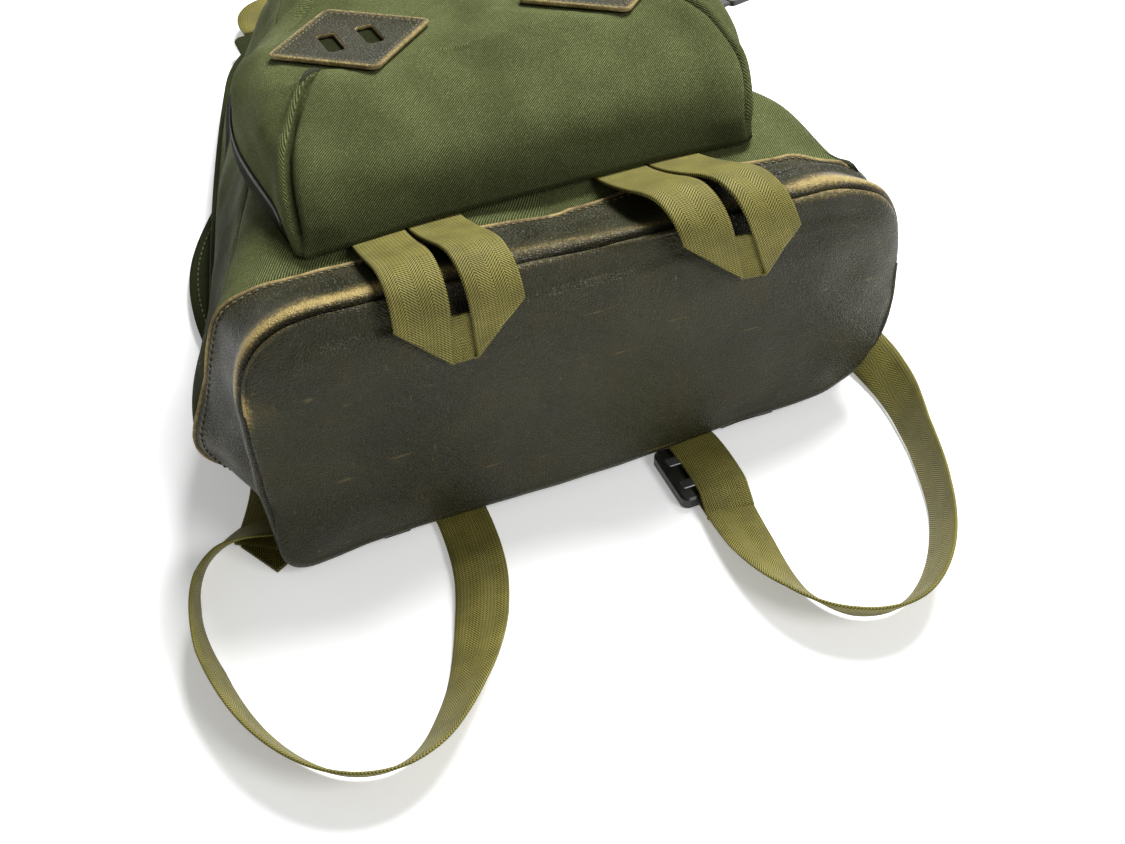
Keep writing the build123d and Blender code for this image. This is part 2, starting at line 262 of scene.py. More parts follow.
class Shape:
    """Vertices, faces, weave coordinates and finishes gathered into one mesh, in millimetres."""

    def __init__(self):
        self.points = []
        self.faces = []
        self.weave = []
        self.finishes = []
        self.marks = {}
        self.count = 0

    def add(self, points, faces, weave=None, finish=0, **marks):
        points = np.asarray(points, float).reshape(-1, 3)
        if weave is None:
            weave = points[:, :2]
        self.points.append(points)
        self.weave.append(np.asarray(weave, float).reshape(-1, 2))
        faces = faces.tolist() if isinstance(faces, np.ndarray) else faces
        self.faces += [[corner + self.count for corner in face] for face in faces]
        self.finishes += [finish] * len(faces)
        for name, values in marks.items():
            held = self.marks.setdefault(name, np.zeros(self.count))
            held = np.concatenate([held, np.zeros(self.count - len(held))])
            self.marks[name] = np.concatenate([held, np.asarray(values, float).ravel()])
        self.count += len(points)
        return self

    def add_grid(self, grid, weave=None, finish=0, **marks):
        return self.add(grid, grid_faces(*grid.shape[:2]), weave, finish, **marks)

    def build(self, name, materials, weld=0.02):
        mesh = bpy.data.meshes.new(name)
        mesh.from_pydata(metres(np.vstack(self.points)).tolist(), [], self.faces)
        layer = mesh.uv_layers.new(name="weave")
        corner_vertex = np.zeros(len(mesh.loops), int)
        mesh.loops.foreach_get("vertex_index", corner_vertex)
        layer.data.foreach_set("uv", np.vstack(self.weave)[corner_vertex].ravel())
        for name_of_mark, values in self.marks.items():
            values = np.concatenate([values, np.zeros(self.count - len(values))])
            mesh.attributes.new(name_of_mark, "FLOAT", "POINT").data.foreach_set("value", values)
        mesh.polygons.foreach_set("material_index", self.finishes)
        piece = link(bpy.data.objects.new(name, mesh))
        for material in materials:
            mesh.materials.append(material)
        if weld:
            apart = weld / 1000
            with_bmesh(mesh, lambda work: bmesh.ops.remove_doubles(work, verts=work.verts, dist=apart))
        mesh.polygons.foreach_set("use_smooth", [True] * len(mesh.polygons))
        return piece


def apply_modifiers(piece):
    """The piece's mesh as its modifiers leave it."""
    graph = bpy.context.evaluated_depsgraph_get()
    made = bpy.data.meshes.new_from_object(piece.evaluated_get(graph))
    piece.modifiers.clear()
    piece.data = made
    return piece


def thicken(piece, thickness, levels=1, inner_finish=1, outward=None):
    """Smooth a sheet and give it a thickness on its inner side. outward is a point on its inner side."""
    mesh = piece.data
    if outward is not None:
        inside = Vector(metres(outward))
        facing = sum((f.center - inside).dot(f.normal) * f.area for f in mesh.polygons)
        if facing < 0:
            mesh.flip_normals()
    if levels:
        finer = piece.modifiers.new("finer", "SUBSURF")
        finer.levels = finer.render_levels = levels
    solid = piece.modifiers.new("thickness", "SOLIDIFY")
    solid.thickness = thickness / 1000
    solid.offset = -1
    solid.material_offset = inner_finish
    return apply_modifiers(piece)


def sweep(path, sideways, upward, section, cap=True):
    """A closed section of (sideways, up) points carried along a path."""
    section = np.asarray(section, float)
    ring = np.vstack([section, section[:1]])
    grid = (
        path[:, None, :]
        + sideways[:, None, :] * ring[None, :, :1]
        + upward[:, None, :] * ring[None, :, 1:]
    )
    around = lengths_along(ring)
    along = lengths_along(path)
    weave = np.stack(np.meshgrid(around, along), -1)
    faces = grid_faces(*grid.shape[:2]).tolist()
    if cap:
        last = (len(path) - 1) * len(ring)
        count = len(section)
        faces.append(list(range(count)))
        faces.append([last + i for i in range(count)][::-1])
    return grid.reshape(-1, 3), faces, weave.reshape(-1, 2)


def strip_section(width, thickness, steps=6):
    """A flat section with soft edges."""
    half = width / 2
    rim = thickness * 0.32
    over = [(x, thickness / 2) for x in np.linspace(-half + rim, half - rim, steps)]
    under = [(x, -thickness / 2) for x in np.linspace(half - rim, -half + rim, steps)]
    return [*over, (half, thickness * 0.18), (half, -thickness * 0.18), *under,
            (-half, -thickness * 0.18), (-half, thickness * 0.18)]


def flat_path(points, level, spacing=3.0):
    """A level curve through points, with its sideways and upward directions."""
    path = smooth_line([(x, y, level) for x, y in points], spacing)
    forward = unit(np.gradient(path, axis=0))
    up = np.tile([0.0, 0.0, 1.0], (len(path), 1))
    return path, unit(np.cross(forward, up)), up


def bar_faces(bars, rings, around):
    """Faces of a number of closed bars, each made of the same number of rings of points."""
    faces = []
    for first in range(0, (rings - 1) * around, around):
        for i in range(around):
            a, b = first + i, first + (i + 1) % around
            faces.append([a, b, b + around, a + around])
    faces.append(list(range(around))[::-1])
    faces.append(list(range((rings - 1) * around, rings * around)))
    size = rings * around
    return [[corner + k * size for corner in face] for k in range(bars) for face in faces]


# Rings of a stitch: share of its length, size and lift
STITCH_RINGS = [(-0.5, 0.35, -0.3), (-0.3, 1, 0.25), (0, 1.1, 0.4), (0.3, 1, 0.25), (0.5, 0.35, -0.3)]
STITCH_SIDES = 5


def stitches(shape, line, outward, finish, pitch=3.4, length=2.4, radius=0.42):
    """A row of raised stitches along a line on a surface."""
    total = lengths_along(line)[-1]
    middles = np.arange(pitch / 2, total, pitch)
    centre = place_on(line, middles)
    forward = unit(place_on(line, middles + 0.5) - place_on(line, middles - 0.5))
    up = unit(between_rows(middles, lengths_along(line), outward))
    side = unit(np.cross(forward, up))
    points = []
    for share, size, lift in STITCH_RINGS:
        for angle in np.arange(STITCH_SIDES) * 2 * pi / STITCH_SIDES:
            points.append(
                centre + forward * share * length + up * (lift + sin(angle) * size) * radius
                + side * cos(angle) * size * radius
            )
    points = np.stack(points, 1)
    shape.add(points, bar_faces(len(points), len(STITCH_RINGS), STITCH_SIDES), None, finish)


def settle(piece, body, slot, *nodes):
    """Let a piece ride on a body, in place of CAD nodes. The slot argument is not used."""
    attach(piece, body)
    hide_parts(*nodes)
    return piece


# ---------------------------------------------------------------- camera and cords

CAMERA_PLACE = (-229.2, -485.2, 549.5)
CAMERA_HEADING = radians(23.59)
CAMERA_ELEVATION = radians(44.9)
CAMERA_LENS = 50.36
CAMERA_SENSOR = 36

camera = link(bpy.data.objects.new("camera", bpy.data.cameras.new("camera")))
camera.data.lens = CAMERA_LENS
camera.data.sensor_width = CAMERA_SENSOR
ahead = Vector((
    sin(CAMERA_HEADING) * cos(CAMERA_ELEVATION),
    cos(CAMERA_HEADING) * cos(CAMERA_ELEVATION),
    -sin(CAMERA_ELEVATION),
))
turned = ahead.to_track_quat("-Z", "Y").to_matrix().to_4x4()
camera.matrix_world = Matrix.Translation(at(*CAMERA_PLACE)) @ turned
bpy.context.scene.camera = camera


FLAT_LIFT = 2.9  # how high the middle of the webbing is above the floor where it lies flat
EDGE_LIFT = 13  # and where it stands on its edge


def route_line(name, points, tilts):
    """The curve that a cord's points control, as points in the row frame."""
    heights = [FLOOR + FLAT_LIFT * abs(cos(radians(t))) + EDGE_LIFT * sin(radians(t)) for t in tilts]
    curve = bpy.data.curves.new(name + "_route", "CURVE")
    curve.dimensions = "3D"
    curve.resolution_u = 16
    spline = curve.splines.new("NURBS")
    spline.points.add(len(points) - 1)
    for knot, (x, y), height in zip(spline.points, points, heights):
        knot.co = (*at(x, y, height), 1)
    spline.order_u = 3
    spline.use_endpoint_u = True
    return np.array([v.co for v in curve_mesh(curve).vertices], float)


def adjuster_webbing(name, points, tilts, outer_side):
    """Slack webbing on the floor, flat at its ends and turned up on its inner edge between them."""
    line = route_line(name, points, tilts)
    path = (line - ORIGIN) * 1000
    run = lengths_along(np.array(points, float))
    share = lengths_along(path) / lengths_along(path)[-1]
    tilt = np.radians(np.interp(share, run / run[-1], tilts))
    forward = unit(np.gradient(path, axis=0) * (1, 1, 0))
    outer = np.cross(forward, (0, 0, -outer_side))
    across = outer * np.cos(tilt)[:, None] + np.array([0, 0, 1.0]) * np.sin(tilt)[:, None]
    face = np.cross(across, forward) * outer_side
    section = strip_section(WEBBING_WIDTH, ADJUSTER_THICKNESS, 9)
    shape = Shape().add(*sweep(path, across, face, section))
    node = "adjuster_webbing_" + name
    piece = settle(shape.build(node, [WEBBING]), "pack", "webbing", node)


# ---------------------------------------------------------------- materials


class Finish:
    """A procedural material, put together node by node."""

    def __init__(self, name):
        self.material = bpy.data.materials.new(name)
        self.material.use_nodes = True
        self.tree = self.material.node_tree
        self.tree.nodes.clear()
        self.shader = self.node("BsdfPrincipled")
        output = self.node("OutputMaterial")
        self.tree.links.new(self.shader.outputs[0], output.inputs[0])
        self.place = self.node("TexCoord").outputs["Object"]

    def node(self, kind, inputs=None, **settings):
        made = self.tree.nodes.new("ShaderNode" + kind)
        for name, value in settings.items():
            setattr(made, name, value)
        for name, value in (inputs or {}).items():
            self.put(made.inputs[name], value)
        return made

    def put(self, socket, value):
        if isinstance(value, bpy.types.NodeSocket):
            self.tree.links.new(value, socket)
        else:
            socket.default_value = value

    def math(self, operation, a, b=0.0, c=0.0, clamp=False):
        inputs = {0: a, 1: b, 2: c}
        return self.node("Math", inputs, operation=operation, use_clamp=clamp).outputs[0]

    def mix(self, share, a, b, blend="MIX"):
        made = self.node("Mix", data_type="RGBA", blend_type=blend)
        self.put(made.inputs["Factor"], share)
        colours = [s for s in made.inputs if s.type == "RGBA"]
        self.put(colours[0], a)
        self.put(colours[1], b)
        return next(s for s in made.outputs if s.type == "RGBA")

    def noise(self, scale, detail=2.0, roughness=0.5, place=None, distortion=0.0):
        inputs = {
            "Vector": self.place if place is None else place,
            "Scale": scale,
            "Detail": detail,
            "Roughness": roughness,
            "Distortion": distortion,
        }
        return self.node("TexNoise", inputs).outputs["Fac"]

    def range(self, value, low, high, to_low=0.0, to_high=1.0):
        inputs = {"Value": value, "From Min": low, "From Max": high, "To Min": to_low, "To Max": to_high}
        return self.node("MapRange", inputs, interpolation_type="SMOOTHSTEP").outputs[0]

    def stretched(self, scale, turn=0.0):
        inputs = {"Vector": self.place, "Scale": scale, "Rotation": (0, 0, turn)}
        return self.node("Mapping", inputs).outputs[0]

    def weave(self):
        """The two weave coordinates, in millimetres."""
        uv = self.node("UVMap", uv_map="weave").outputs[0]
        parts = self.node("SeparateXYZ", {0: uv})
        return parts.outputs[0], parts.outputs[1]

    def wave(self, value, pitch, phase=0.0):
        """A sine of a coordinate, from 0 to 1."""
        turned = self.math("MULTIPLY_ADD", value, 2 * pi / pitch, phase)
        return self.math("MULTIPLY_ADD", self.math("SINE", turned), 0.5, 0.5)

    def mark(self, name):
        return self.node("Attribute", attribute_name=name).outputs["Fac"]

    def bump(self, height, distance, strength=1.0, under=None):
        """Raise the surface by a height, with its distance in millimetres."""
        inputs = {"Height": height, "Distance": distance / 1000, "Strength": strength}
        if under is not None:
            inputs["Normal"] = under
        return self.node("Bump", inputs).outputs[0]

    def done(self, colour, roughness, normal=None, **constants):
        self.put(self.shader.inputs["Base Color"], colour)
        self.put(self.shader.inputs["Roughness"], roughness)
        if normal is not None:
            self.put(self.shader.inputs["Normal"], normal)
        for name, value in constants.items():
            self.shader.inputs[name.replace("_", " ")].default_value = value
        return self.material


def rgba(colour, times=1.0, plus=0.0):
    """A colour made lighter or darker, with full opacity."""
    return (*[c * times + plus for c in colour], 1)


def fabric(name, dark, light, pitch=1.3, sheen=0.0, fleck=0.75):
    """Nylon pack cloth: fine twill lines over crossed threads, with flecks, soft mottled tone, and painted
    shade where its shade mark says.
    """
    f = Finish(name)
    u, v = f.weave()
    diagonal = f.wave(f.math("SUBTRACT", u, v), pitch)
    threads = f.math("MULTIPLY", f.wave(u, pitch * 0.4), f.wave(v, pitch * 0.4))
    height = f.math("MULTIPLY_ADD", diagonal, 0.8, f.math("MULTIPLY", threads, 0.4))
    height = f.math("MULTIPLY_ADD", f.noise(700, 3, 0.7), 0.6, height)
    broad = f.noise(26, 3, 0.6)
    tone = f.mix(f.range(height, 0.35, 1.25), rgba(dark), rgba(light))
    flecks = f.math("MULTIPLY", f.range(f.noise(1500, 2, 0.6), 0.5, 0.7), diagonal)
    tone = f.mix(f.math("MULTIPLY", flecks, fleck), tone, rgba(light, 1.9, 0.01))
    shade = f.range(broad, 0.3, 0.7, 0.0, 0.3)
    tone = f.mix(shade, tone, rgba(dark, 0.55))
    # Painted shade: the shade mark darkens the cloth towards a deep tone in slots, seams, the pocket's foot
    # and the body's low sides.
    tone = f.mix(f.math("MULTIPLY", f.mark("soil"), 0.85), tone, rgba(dark, 0.3))
    normal = f.bump(height, 0.3, 0.8)
    return f.done(tone, f.range(broad, 0.3, 0.7, 0.62, 0.8), normal,
                  Sheen_Weight=sheen, Sheen_Roughness=0.45, Specular_IOR_Level=0.02)


def leather(name, dark, mid, worn):
    """Oiled leather: pebbled grain, cloudy tone, scratches, worn tan where the mark wear says, and painted
    shade where its shade mark says.
    """
    f = Finish(name)
    cells = f.node("TexVoronoi", {"Vector": f.place, "Scale": 700.0}, feature="DISTANCE_TO_EDGE")
    grain = f.range(cells.outputs["Distance"], 0.0, 0.3)
    fine = f.noise(2200, 4, 0.65)
    broad = f.noise(14, 4, 0.6, distortion=0.4)
    cloudy = f.noise(55, 5, 0.7)
    tone = f.mix(f.range(broad, 0.3, 0.72), rgba(dark), rgba(mid))
    brown = (mid[0] * 1.5, mid[1] * 1.12, mid[2] * 0.8, 1)
    tone = f.mix(f.range(cloudy, 0.45, 0.75, 0.0, 0.5), tone, brown)
    tone = f.mix(f.range(grain, 0.0, 0.8, 0.35, 0.0), tone, rgba(dark, 0.45))
    scratch_paths = [
        f.noise(1.0, 2, 0.4, place=f.stretched((30, 900, 300), 0.5)),
        f.noise(1.0, 2, 0.4, place=f.stretched((700, 28, 200), -0.35)),
    ]
    scratches = f.math("MAXIMUM", *[f.range(p, 0.7, 0.77) for p in scratch_paths])
    wear = f.mark("wear")
    speckle = f.math("MULTIPLY_ADD", f.noise(620, 6, 0.85), 3.2, -1.85)
    rubbed = f.range(f.math("MULTIPLY_ADD", wear, 1.1, speckle), 0.1, 0.75)
    rubbed = f.math("MULTIPLY", rubbed, f.range(wear, 0.02, 0.25))
    tan = rgba(worn, 0.42)
    tone = f.mix(f.range(wear, 0.05, 0.6, 0.0, 0.65), tone, tan)
    tone = f.mix(rubbed, tone, rgba(worn))
    tone = f.mix(f.math("MULTIPLY", scratches, 0.45), tone, tan)
    # Painted shade in the crease beside the bead and in the band's hollow.
    shadow = f.mark("soil")
    tone = f.mix(f.math("MULTIPLY", shadow, 0.85), tone, rgba(dark, 0.25))
    height = f.math("MULTIPLY_ADD", grain, 0.8, f.math("MULTIPLY", fine, 0.5))
    height = f.math("MULTIPLY_ADD", scratches, -0.5, height)
    normal = f.bump(height, 0.4, 0.9)
    normal = f.bump(f.noise(120, 4, 0.6, distortion=0.6), 1.2, 0.4, normal)
    rough = f.range(cloudy, 0.3, 0.75, 0.34, 0.48)
    rough = f.math("MULTIPLY_ADD", rubbed, 0.12, rough)
    return f.done(tone, rough, normal, Specular_IOR_Level=0.3)


def webbing(name, dark, light, width=WEBBING_WIDTH):
    """Herringbone webbing: slanted ribs that turn back in the middle of each narrow stripe."""
    f = Finish(name)
    u, v = f.weave()
    stripe = f.math("PINGPONG", u, width / 4)
    rib = f.wave(f.math("MULTIPLY_ADD", stripe, 0.9, v), 1.3)
    across = f.wave(u, width / 16)
    height = f.math("MULTIPLY_ADD", rib, 0.75, f.math("MULTIPLY", across, 0.25))
    height = f.math("MULTIPLY_ADD", f.noise(1300, 3, 0.7), 0.5, height)
    tone = f.mix(f.range(height, 0.25, 1.25), rgba(dark), rgba(light))
    tone = f.mix(f.range(f.noise(60, 3, 0.6), 0.35, 0.7, 0.0, 0.3), tone, rgba(dark))
    return f.done(tone, 0.62, f.bump(height, 0.3, 0.75),
                  Sheen_Weight=0.03, Sheen_Roughness=0.4, Specular_IOR_Level=0.22)


def raw_edge(name):
    """Cut leather edge: tan fibres with darker patches."""
    f = Finish(name)
    fibres = f.noise(900, 5, 0.8)
    broad = f.noise(90, 4, 0.7)
    tone = f.mix(f.range(fibres, 0.3, 0.75), (0.19, 0.14, 0.050, 1), (0.48, 0.38, 0.17, 1))
    tone = f.mix(f.range(broad, 0.42, 0.68, 0.0, 0.8), tone, (0.10, 0.07, 0.03, 1))
    return f.done(tone, 0.85, f.bump(fibres, 0.4, 0.7), Specular_IOR_Level=0.3)


def thread(name, colour):
    f = Finish(name)
    twist = f.noise(1800, 2, 0.6)
    tone = f.mix(f.range(twist, 0.3, 0.7), rgba(colour, 0.6), rgba(colour))
    return f.done(tone, 0.55, f.bump(twist, 0.15, 0.6))


def moulded(name, colour, roughness=0.34):
    """Moulded plastic with a faint orange-peel and handling marks."""
    f = Finish(name)
    peel = f.noise(1400, 2, 0.5)
    rubbed = f.noise(130, 5, 0.75)
    tone = f.mix(f.range(rubbed, 0.5, 0.8), rgba(colour), rgba(colour, 2.4, 0.01))
    rough = f.range(rubbed, 0.35, 0.75, roughness, roughness + 0.2)
    return f.done(tone, rough, f.bump(peel, 0.05, 0.4), Coat_Weight=0.1, Coat_Roughness=0.3)


def painted_metal(name):
    """Black enamel over brass, rubbed through in small places."""
    f = Finish(name)
    rubbed = f.range(f.noise(420, 5, 0.8), 0.6, 0.72)
    tone = f.mix(rubbed, (0.018, 0.018, 0.017, 1), (0.26, 0.19, 0.09, 1))
    f.put(f.shader.inputs["Metallic"], f.math("MULTIPLY", rubbed, 0.9))
    return f.done(tone, f.range(rubbed, 0, 1, 0.3, 0.42), f.bump(f.noise(900, 3, 0.6), 0.05, 0.4))


def foam(name):
    f = Finish(name)
    cells = f.node("TexVoronoi", {"Vector": f.place, "Scale": 1500.0}).outputs["Distance"]
    tone = f.mix(f.range(cells, 0.1, 0.6), (0.12, 0.12, 0.12, 1), (0.25, 0.25, 0.24, 1))
    return f.done(tone, 0.9, f.bump(cells, 0.2, 0.6))


def board(name):
    f = Finish(name)
    grain = f.noise(500, 5, 0.7)
    tone = f.mix(f.range(grain, 0.3, 0.7), (0.06, 0.05, 0.04, 1), (0.13, 0.11, 0.085, 1))
    return f.done(tone, 0.75, f.bump(grain, 0.1, 0.5))


SHELL = fabric("shell_fabric", (0.018, 0.024, 0.008), (0.160, 0.180, 0.072))
BACK_FABRIC = fabric("back_fabric", (0.014, 0.019, 0.007), (0.050, 0.060, 0.024), fleck=0.3)
LINING = fabric("lining", (0.03, 0.034, 0.02), (0.075, 0.08, 0.05), pitch=1.2, sheen=0.02, fleck=0.1)
TAPE = fabric("zip_tape", (0.006, 0.008, 0.004), (0.022, 0.026, 0.012), pitch=1.6, fleck=0.1)
LEATHER = leather("leather", (0.019, 0.0195, 0.0064), (0.038, 0.037, 0.0125), (0.36, 0.27, 0.095))
WEBBING = webbing("webbing", (0.022, 0.020, 0.004), (0.31, 0.275, 0.060))
TAN_EDGE = raw_edge("tan_edge")
OLIVE_THREAD = thread("olive_thread", (0.16, 0.13, 0.055))
COIL = moulded("zip", (0.022, 0.022, 0.016), 0.4)
ZIP_METAL = painted_metal("zip_metal")
PULL = moulded("pull", (0.02, 0.02, 0.018), 0.45)
BUCKLE = moulded("buckle", (0.0085, 0.009, 0.006), 0.36)
FOAM = foam("foam")
BOARD = board("board")

adjuster_webbing("left", LEFT_ADJUSTER, LEFT_TILT, outer_side=1)
adjuster_webbing("right", RIGHT_ADJUSTER, RIGHT_TILT, outer_side=-1)


# ---------------------------------------------------------------- pack body


def half_outline(q, level, inset=0.0):
    """Right half of the body's outline at a level. q is 0 at the fabric's foot, 1 at the hinge and 2 at the
    top of the crown."""
    share = level / DEPTH
    size = {k: BACK_OUTLINE[k] * (1 - share) + FRONT_OUTLINE[k] * share for k in BACK_OUTLINE}
    radius = size["crown_radius"] - inset
    direction = np.array([cos(CROWN_START), sin(CROWN_START)])
    shoulder = np.array([0, size["crown_centre"]]) + radius * direction
    to_hip = np.array([size["hip_half"] - inset, HIP_HEIGHT]) - shoulder
    flank_radius = (to_hip @ to_hip) / (-2 * to_hip @ direction)
    flank_centre = shoulder - flank_radius * direction
    flank_length = shoulder[1] - FLAP_HINGE
    climbed = (q - 1) * (flank_length + radius * (pi / 2 - CROWN_START))
    y = np.where(q <= 1, FABRIC_FOOT + (FLAP_HINGE - FABRIC_FOOT) * q, FLAP_HINGE + climbed)
    angle = CROWN_START + (climbed - flank_length) / radius
    on_flank = climbed <= flank_length
    span = np.sqrt(np.maximum(flank_radius**2 - (np.minimum(y, shoulder[1]) - flank_centre[1]) ** 2, 0))
    x = np.where(on_flank, flank_centre[0] + np.sign(flank_radius) * span, radius * np.cos(angle))
    y = np.where(on_flank, y, size["crown_centre"] + radius * np.sin(angle))
    return x, y


def body_rows():
    """Rows of the body's grid from the middle of the back to the middle of the front: level, inset, how
    far along from the edge to the middle."""
    rows = [(0, BACK_EDGE_RADIUS, share) for share in np.linspace(1, 0, 30)[:-1]]
    for turn in np.linspace(pi / 2, 0, 6)[:-1]:
        level = BACK_PANEL_DEPTH * (1 - sin(turn))
        rows.append((level, BACK_EDGE_RADIUS * (1 - cos(turn)), 0))
    low_tape, high_tape = ZIP_LEVEL - ZIP_TAPE_WIDTH, ZIP_LEVEL + ZIP_TAPE_WIDTH
    levels = [*np.linspace(BACK_PANEL_DEPTH, low_tape, 7), 31, 34, 37, ZIP_LEVEL - SEAM_GAP]
    levels += [ZIP_LEVEL + SEAM_GAP, 43, 46, 49, *np.linspace(high_tape, 96, 14)]
    rows += [(level, 0, 0) for level in levels]
    seam_turn = np.arcsin((FRONT_PANEL_START - 96) / FRONT_EDGE_RADIUS)
    turns = [*np.linspace(0, seam_turn, 4)[1:], *np.linspace(seam_turn, pi / 2, 9)[1:]]
    for turn in turns:
        rows.append((96 + FRONT_EDGE_RADIUS * sin(turn), FRONT_EDGE_RADIUS * (1 - cos(turn)), 0))
    rows += [(DEPTH, FRONT_EDGE_RADIUS, share) for share in np.linspace(0, 1, 34)[1:]]
    return rows


LOWER_STEPS = 64
UPPER_STEPS = 66
CROWN_DRAWN_IN = 0.62  # the rows over the crown end at this share of its height on the middle line
TUCK_UNDER = 25.0  # how far the left lower edge is turned under, beside the strap's anchor


def leather_top(x):
    """Height of the leather's edge."""
    return LEATHER_HEIGHT - 12.0 * smooth_step(x, 55, 135) + 3.0 * hump(x, 117, 8)


# Bulges of the body's sides: how far out, then height and its spread, level and its spread
LEFT_BULGES = [(9.5, 40, 85, 42, 42), (6.0, 42, 50, 26, 34)]
RIGHT_BULGES = [(4.5, 30, 80, 40, 40)]
ZIP_SINK = 1.2


def bulges(table, y, z):
    total = np.zeros_like(y)
    for out, height, rise, level, depth in table:
        total += out * hump(y, height, rise) * hump(z, level, depth)
    return total


def body_shift(grid):
    """How far the cloth stands out from the plain outline at each point."""
    x, y, z = grid[..., 0], grid[..., 1], grid[..., 2]
    side = smooth_step(np.abs(x), 60, 140)
    front = smooth_step(z, 104, 117)
    loose = smooth_step(z, 10, 26)
    out = (bulges(LEFT_BULGES, y, z) * (x < 0) + bulges(RIGHT_BULGES, y, z) * (x > 0)) * side
    belly = 5.0 * hump(z, 62, 36) * smooth_step(y, 60, 150) * (1 - smooth_step(y, 330, 420))
    crown_swell = 4.0 * smooth_step(y, 225, 262) * (1 - smooth_step(np.hypot(x, y - FLAP_HINGE), 20, 62))
    unevenness = 2.0 * waves(grid, 48, 3) + 0.7 * waves(grid, 17, 5) * smooth_step(z, 40, 60)
    ripples = 0.9 * np.sin(y / 8.5 + 1.3 * np.sin(z / 19.0)) * hump(y, 70, 34) * hump(z, 80, 28)
    out = out + belly * side + crown_swell * front + unevenness * loose + ripples * side * (x < 0)
    right_corner = 5.0 * hump(z, 108, 30) * smooth_step(x, 84, 150) * hump(y, 40, 80)
    right_foot = 8.0 * hump(z, 106, 26) * smooth_step(x, 110, 150) * (1 - smooth_step(y, 40, 80))
    front_foot = 6.5 * front * hump(y, 40, 20) * (1 - 0.5 * side)
    seam = 0.9 * hump(z, FRONT_PANEL_START, 1.6) * smooth_step(y, 46, 60)
    edge = leather_top(x)
    tuck = 3.0 + 1.0 * np.maximum(edge - y, 0)
    tuck = tuck * (1 - smooth_step(y, edge - 0.5, edge + 2.5)) * (z > 1)
    at_zip = (y > FLAP_HINGE - 1) * (np.abs(z - ZIP_LEVEL) < ZIP_TAPE_WIDTH - 2.5)
    out = out - right_corner - right_foot - front_foot - seam - tuck - ZIP_SINK * at_zip
    back = 1 - smooth_step(z, 0.5, 6)
    return out * (1 - back) + back * 0.6 * waves(grid, 40, 8)


def whole_row(q, outline_level, level, inset, share):
    """Both halves of a row of the body, drawn in towards its middle line by a share."""
    x, y = half_outline(q, outline_level, inset)
    middle_y = np.where(q <= 1, y, FLAP_HINGE + (y - FLAP_HINGE) * CROWN_DRAWN_IN)
    half = np.stack([x * (1 - share), y + (middle_y - y) * share, np.full_like(x, level)], -1)
    return np.vstack([half * (-1, 1, 1), half[-2::-1]])


def body_grid():
    q = np.concatenate([np.linspace(0, 1, LOWER_STEPS + 1), np.linspace(1, 2, UPPER_STEPS + 1)[1:]])
    grid = []
    for level, inset, share in body_rows():
        grid.append(whole_row(q, level, level, inset, share))
    grid = np.array(grid)
    normals = facing_out(grid_normals(grid), grid, (0, 200, 55))
    from_middle = grid[..., 2:] - DEPTH / 2
    flat_ends = np.abs(from_middle) > DEPTH / 2 - 0.5
    normals = np.where(flat_ends, np.array([0, 0, 1.0]) * np.sign(from_middle), normals)
    grid = grid + normals * body_shift(grid)[..., None]
    x, y, z = grid[..., 0], grid[..., 1], grid[..., 2]
    tucked = smooth_step(-x, 90, 160) * hump(z, -2, 20) * (1 - smooth_step(y, 70, 150))
    grid[..., 0] += TUCK_UNDER * tucked
    return grid, normals


BODY, BODY_NORMALS = body_grid()
ROW_LEVELS = np.array([row[0] for row in body_rows()])
ROW_SHARES = np.array([row[2] for row in body_rows()])
COLUMNS = BODY.shape[1]


def row_at(level):
    """The row on the body's sides at a level."""
    return int(np.argmin(np.abs(ROW_LEVELS - level) + 1000 * (ROW_SHARES > 0)))


def body_weave(part):
    """Weave coordinates of a part of the body: across and up on the front, along and out on the sides."""
    x, y, z = part[..., 0], part[..., 1], part[..., 2]
    drop = (DEPTH - z) * 0.9
    return np.stack([x + np.sign(x) * drop, y], -1)


def body_piece(name, rows, parts, material):
    """A panel of the body: the rows and columns of its grid, smoothed and lined."""
    shape = Shape()
    for columns in parts:
        part = BODY[rows[0] : rows[1] + 1, columns[0] : columns[1] + 1]
        across, level = part[..., 0], part[..., 2]
        # Painted shade: the body's low sides are darkened, more on the left, where they face away from the
        # key light.
        shaded = np.where(across < 0, 0.85, 0.5) * smooth_step(np.abs(across), 95, 145)
        shaded = shaded * (1 - smooth_step(level, 78, 117))
        shape.add_grid(part, body_weave(part), soil=shaded)
    return thicken(shape.build(name, [material, LINING]), CLOTH_THICKNESS, outward=MIDDLE)


LEFT_LOWER = (0, LOWER_STEPS)
RIGHT_LOWER = (COLUMNS - 1 - LOWER_STEPS, COLUMNS - 1)
UPPER = (LOWER_STEPS, COLUMNS - 1 - LOWER_STEPS)
MIDDLE = (0, 180, 55)
CLOTH_THICKNESS = 2.2
EVERY_COLUMN = (0, COLUMNS - 1)
LAST_ROW = len(ROW_LEVELS) - 1
BACK_ROW = row_at(BACK_PANEL_DEPTH)
SEAM_ROW = row_at(FRONT_PANEL_START)


def settle_folding(piece, node):
    """Bake a piece's placement into its mesh, in place of a CAD node."""
    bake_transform(piece)
    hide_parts(node)


